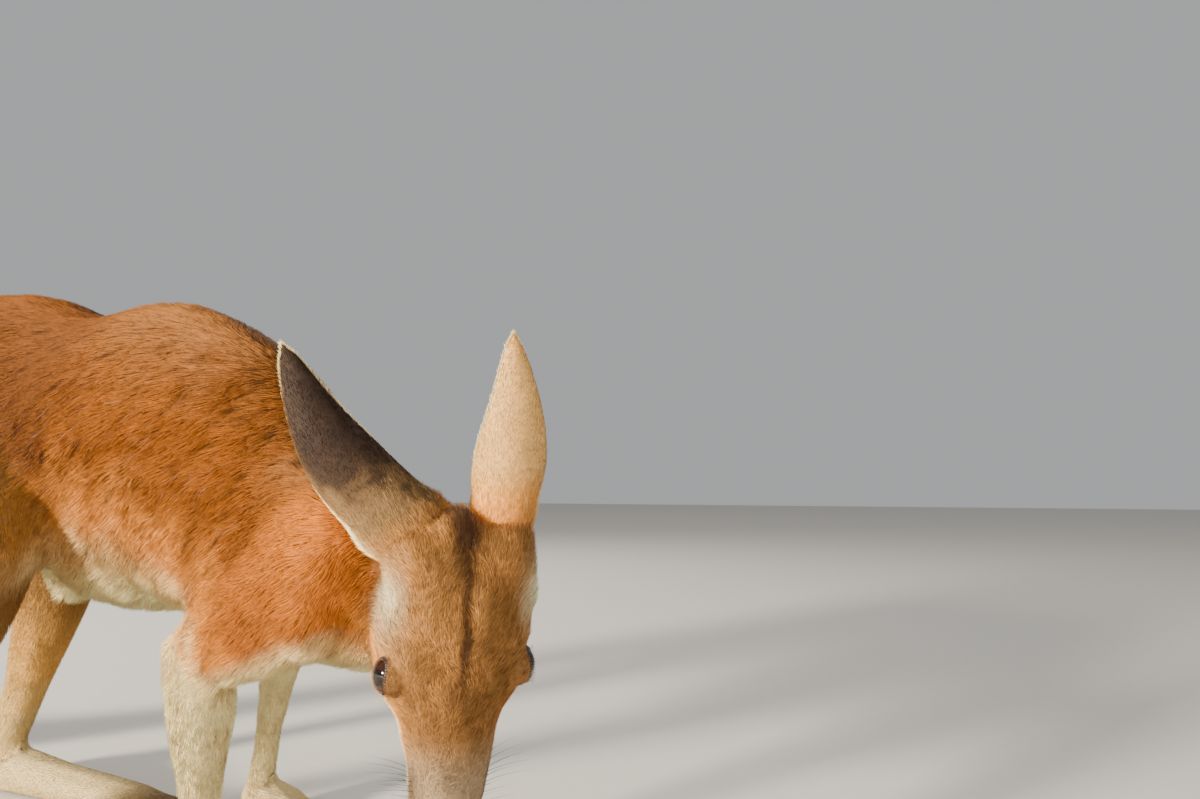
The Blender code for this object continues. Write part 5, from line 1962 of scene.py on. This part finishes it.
@dataclass(frozen=True)
class Studio:
    """Plain pale floor, soft light and the camera."""

    camera_place: tuple[float, float, float] = (-0.4856, -0.8762, 0.34)
    camera_heading: tuple[float, float] = (0.9135, 0.4067)
    camera_pitch: float = math.radians(6.4)
    lens: float = 23.4
    sky_colour: tuple[float, float, float] = (0.92, 0.93, 0.95)
    sky_strength: float = 0.46
    floor_reach: float = 14.0

    def place(self, data: bpy.types.ID, spot: Vector, heading: Vector) -> bpy.types.Object:
        """Puts a camera or a light at a spot, looking along a heading."""
        obj = new_object(data.name, data)
        obj.location = spot
        obj.rotation_euler = heading.to_track_quat("-Z", "Y").to_euler()
        return obj

    def camera(self) -> None:
        """Sets up the camera."""
        data = bpy.data.cameras.new("camera")
        data.sensor_width = 36.0
        data.lens = self.lens
        data.clip_start = 0.01
        level = math.cos(self.camera_pitch)
        east, north = self.camera_heading
        heading = Vector((east * level, north * level, math.sin(self.camera_pitch)))
        bpy.context.scene.camera = self.place(data, placed(*self.camera_place), heading)

    def light(self, lamp: Lamp, middle: Vector) -> None:
        """Hangs one lamp, aimed at the animal's middle."""
        data = bpy.data.lights.new(lamp.name, "AREA")
        data.size, data.energy, data.color = lamp.size, lamp.power, lamp.colour
        self.place(data, middle + Vector(lamp.away), -Vector(lamp.away))

    def build(self) -> None:
        """Builds the camera, the lights, the pale surroundings and the floor."""
        self.camera()
        low, high = CAD_BOX
        for lamp in LAMPS:
            self.light(lamp, (low + high) / 2)
        world = bpy.data.worlds.new("studio")
        world.use_nodes = True
        sky = world.node_tree.nodes["Background"]
        sky.inputs["Color"].default_value = (*self.sky_colour, 1)
        sky.inputs["Strength"].default_value = self.sky_strength
        bpy.context.scene.world = world
        form = bmesh.new()
        bmesh.ops.create_grid(form, x_segments=1, y_segments=1, size=self.floor_reach)
        floor = new_object("floor", mesh_of(form, "floor"))
        floor.data.materials.append(PlainFinish("studio floor paint", "#CFCBC4").material())


# ---- the whole animal ---------------------------------------------------------------------------
def ear_coat(markings: Markings, scatter: Scatter, ear: Ear,
             surface: bpy.types.Object) -> tuple[bpy.types.Object, bpy.types.Object]:
    """The short coat of one ear and the pale fringe along its rims.

    Args:
        markings: holds the colours.
        scatter: spreads the roots.
        ear: the ear's shape.
        surface: the ear's shell as an object with its stored places.

    Returns:
        The coat's object and the fringe's object.
    """
    name = ear.side.value
    chance = np.random.default_rng(SEED + len(name))
    points, normals = scatter.roots(surface, EAR_SPACING, SEED + 31)
    nearest = nearest_of(corners_of(surface.data), points)
    share, place = (read_number(surface.data, key)[nearest] for key in ("share", "place"))
    inner, across = sides_of(place)
    keep = (share > EAR_BASE_SHARE + 0.02) & ~(inner & (chance.random(len(points)) < 0.5))
    points, normals, share, place = points[keep], normals[keep], share[keep], place[keep]
    inner, across = inner[keep], across[keep]
    _, _, along = ear.axes
    lie = np.tile(along, (len(points), 1)) + chance.normal(0, 0.10, (len(points), 3))
    lie = along_surface(lie, normals)
    count = len(points)
    length = np.where(inner, 5.0, 4.2 + 4.5 * smooth_step(0.32, 0.0, share)) * MM
    length = length * chance.uniform(0.7, 1.25, count)
    lift = np.where(inner, 0.20, 0.14) * chance.uniform(0.6, 1.3, count)
    colours = ear_colours(markings, ear.side, share, place, points)
    colours = colours * np.clip(1 + chance.normal(0, 0.13, count), 0.6, 1.4)[:, None]
    up = np.clip((share - EAR_BASE_SHARE) / (1 - EAR_BASE_SHARE), 0, 1)
    bake = np.stack([(across + 1) / 4 + 0.5 * inner, up], 1) * (1 - 2 * BAKE_PATCH)
    tufts = Tufts(
        roots=points, normals=normals, lie=lie, length=length,
        width=chance.uniform(0.8, 1.2, count) * 0.62 * MM, lift=lift, colours=colours, bake=bake,
        room=EAR_SPACING ** 2 * POISSON_ROOM, clump_size=2.0 * MM, clump_share=0.25)
    return tufts.grown(f"coat_ear_{name}", SEED, STRAIGHT), ear_fringe(markings, ear, chance)


def ear_fringe(markings: Markings, ear: Ear, chance: np.random.Generator) -> bpy.types.Object:
    """The pale hairs that stand out from an ear's rims."""
    corners, _, share, place = ear.build()
    across, back, along = ear.axes
    rows, lies, norms, sizes, bakes = [], [], [], [], []
    for sign in (-1, 1):
        line = np.where(np.abs(place - sign) < 1e-6)[0]
        line = line[share[line] > 0.0]
        for start, end in zip(line, line[1:]):
            for _ in range(FRINGE_HAIRS):
                t = chance.random()
                rows.append(corners[start] * (1 - t) + corners[end] * t
                            - across * sign * chance.uniform(0, 1.2) * MM)
                lies.append(across * sign * chance.uniform(0.02, 0.42) + along
                            + back * chance.normal(0, 0.12))
                norms.append(across * sign)
                sizes.append(chance.uniform(3.0, 7.0) * MM * (1 - 0.4 * share[start]))
                bakes.append((0.5 + 0.48 * sign * chance.random(), share[start]))
    roots, lie = np.array(rows), unit(np.array(lies))
    normals = along_surface(np.array(norms), lie)
    count = len(roots)
    colours = np.tile(markings.tint["cream"], (count, 1)) * chance.uniform(0.70, 1.05, (count, 1))
    tufts = Tufts(
        roots=roots, normals=normals, lie=lie, length=np.array(sizes),
        width=np.full(count, 0.34 * MM), lift=np.zeros(count), colours=colours,
        bake=np.clip(np.array(bakes), 0, 0.99), room=EAR_SPACING ** 2, clump_size=3 * MM,
        clump_share=0.0)
    return tufts.grown(f"fringe_ear_{ear.side.value}", SEED, BENT)


def ear_shell(ear: Ear, markings: Markings) -> bpy.types.Object:
    """The ear's shell as an object of its own, with its colours and places."""
    corners, faces, share, place = ear.build()
    mesh = mesh_from(f"ear_shell_{ear.side.value}", corners, faces)
    turn_faces_out(mesh)
    # painted shade: the ear shell is drawn darker than its coat, as the shade under the coat
    store_colour(mesh, ear_colours(markings, ear.side, share, place, corners) * EAR_SKIN_PAINTED_SHADE)
    store_number(mesh, BARE_NAME, np.zeros(len(corners)))
    store_number(mesh, "share", share)
    store_number(mesh, "place", place)
    return new_object(f"ear_shell_{ear.side.value}", mesh)


def lid_object(eye: Eye, markings: Markings) -> bpy.types.Object:
    """The lids' rim as an object of its own."""
    corners, faces = eye.lid_rim()
    mesh = mesh_from("lid_rim", corners, faces)
    turn_faces_out(mesh)
    store_colour(mesh, np.tile(markings.tint["lid"], (len(corners), 1)))
    store_number(mesh, BARE_NAME, np.ones(len(corners)))
    return new_object("lid_rim", mesh)


def joined(main_piece: bpy.types.Object, others: list[bpy.types.Object]) -> None:
    """Joins other objects into the first one."""
    with bpy.context.temp_override(active_object=main_piece, object=main_piece,
                                   selected_objects=[main_piece, *others],
                                   selected_editable_objects=[main_piece, *others]):
        bpy.ops.object.join()


def finish_piece(obj: bpy.types.Object, nodes: tuple[str, ...] = ()) -> None:
    """Lets a piece ride on the body, hides the CAD parts it replaces, and reports its triangles."""
    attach(obj, BODY)
    if nodes:
        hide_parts(*nodes)
    triangles = sum(len(face.vertices) - 2 for face in obj.data.polygons)
    LOG.info("%s: %d triangles", obj.name, triangles)


def main() -> None:
    """Builds the animal and its studio."""
    logging.basicConfig(level=logging.INFO, format="%(message)s")
    anatomy = Anatomy()
    markings = Markings(anatomy, Palette())
    fur = FurFinish().material()
    skin = Skin(anatomy, markings).build()
    scatter = Scatter(fur)
    coat = Coat(anatomy, markings, scatter)
    for order, plan in enumerate(COAT_PLANS):
        piece = coat.grow(skin, plan, SEED + order)
        piece.data.materials.append(fur)
        finish_piece(piece)
    extras = []
    for side in Side:
        ear = Ear(side)
        shell = ear_shell(ear, markings)
        for piece in ear_coat(markings, scatter, ear, shell):
            piece.data.materials.append(fur)
            finish_piece(piece)
        extras.append(shell)
        eye = Eye(side, EyeFinish())
        finish_piece(eye.build(), (f"eye_{side.value}",))
        extras.append(lid_object(eye, markings))
    joined(skin, extras)
    skin.data.materials.clear()
    skin.data.materials.append(SkinFinish().material())
    finish_piece(skin, tuple(flesh_nodes()) + EARS)
    horn = HornFinish().material()
    for node in claw_nodes():
        finish_piece(smooth_claw(node, horn), (node,))
    finish_piece(whiskers())
    finish_piece(lashes())
    Studio().build()


if __name__ == "__main__":
    main()
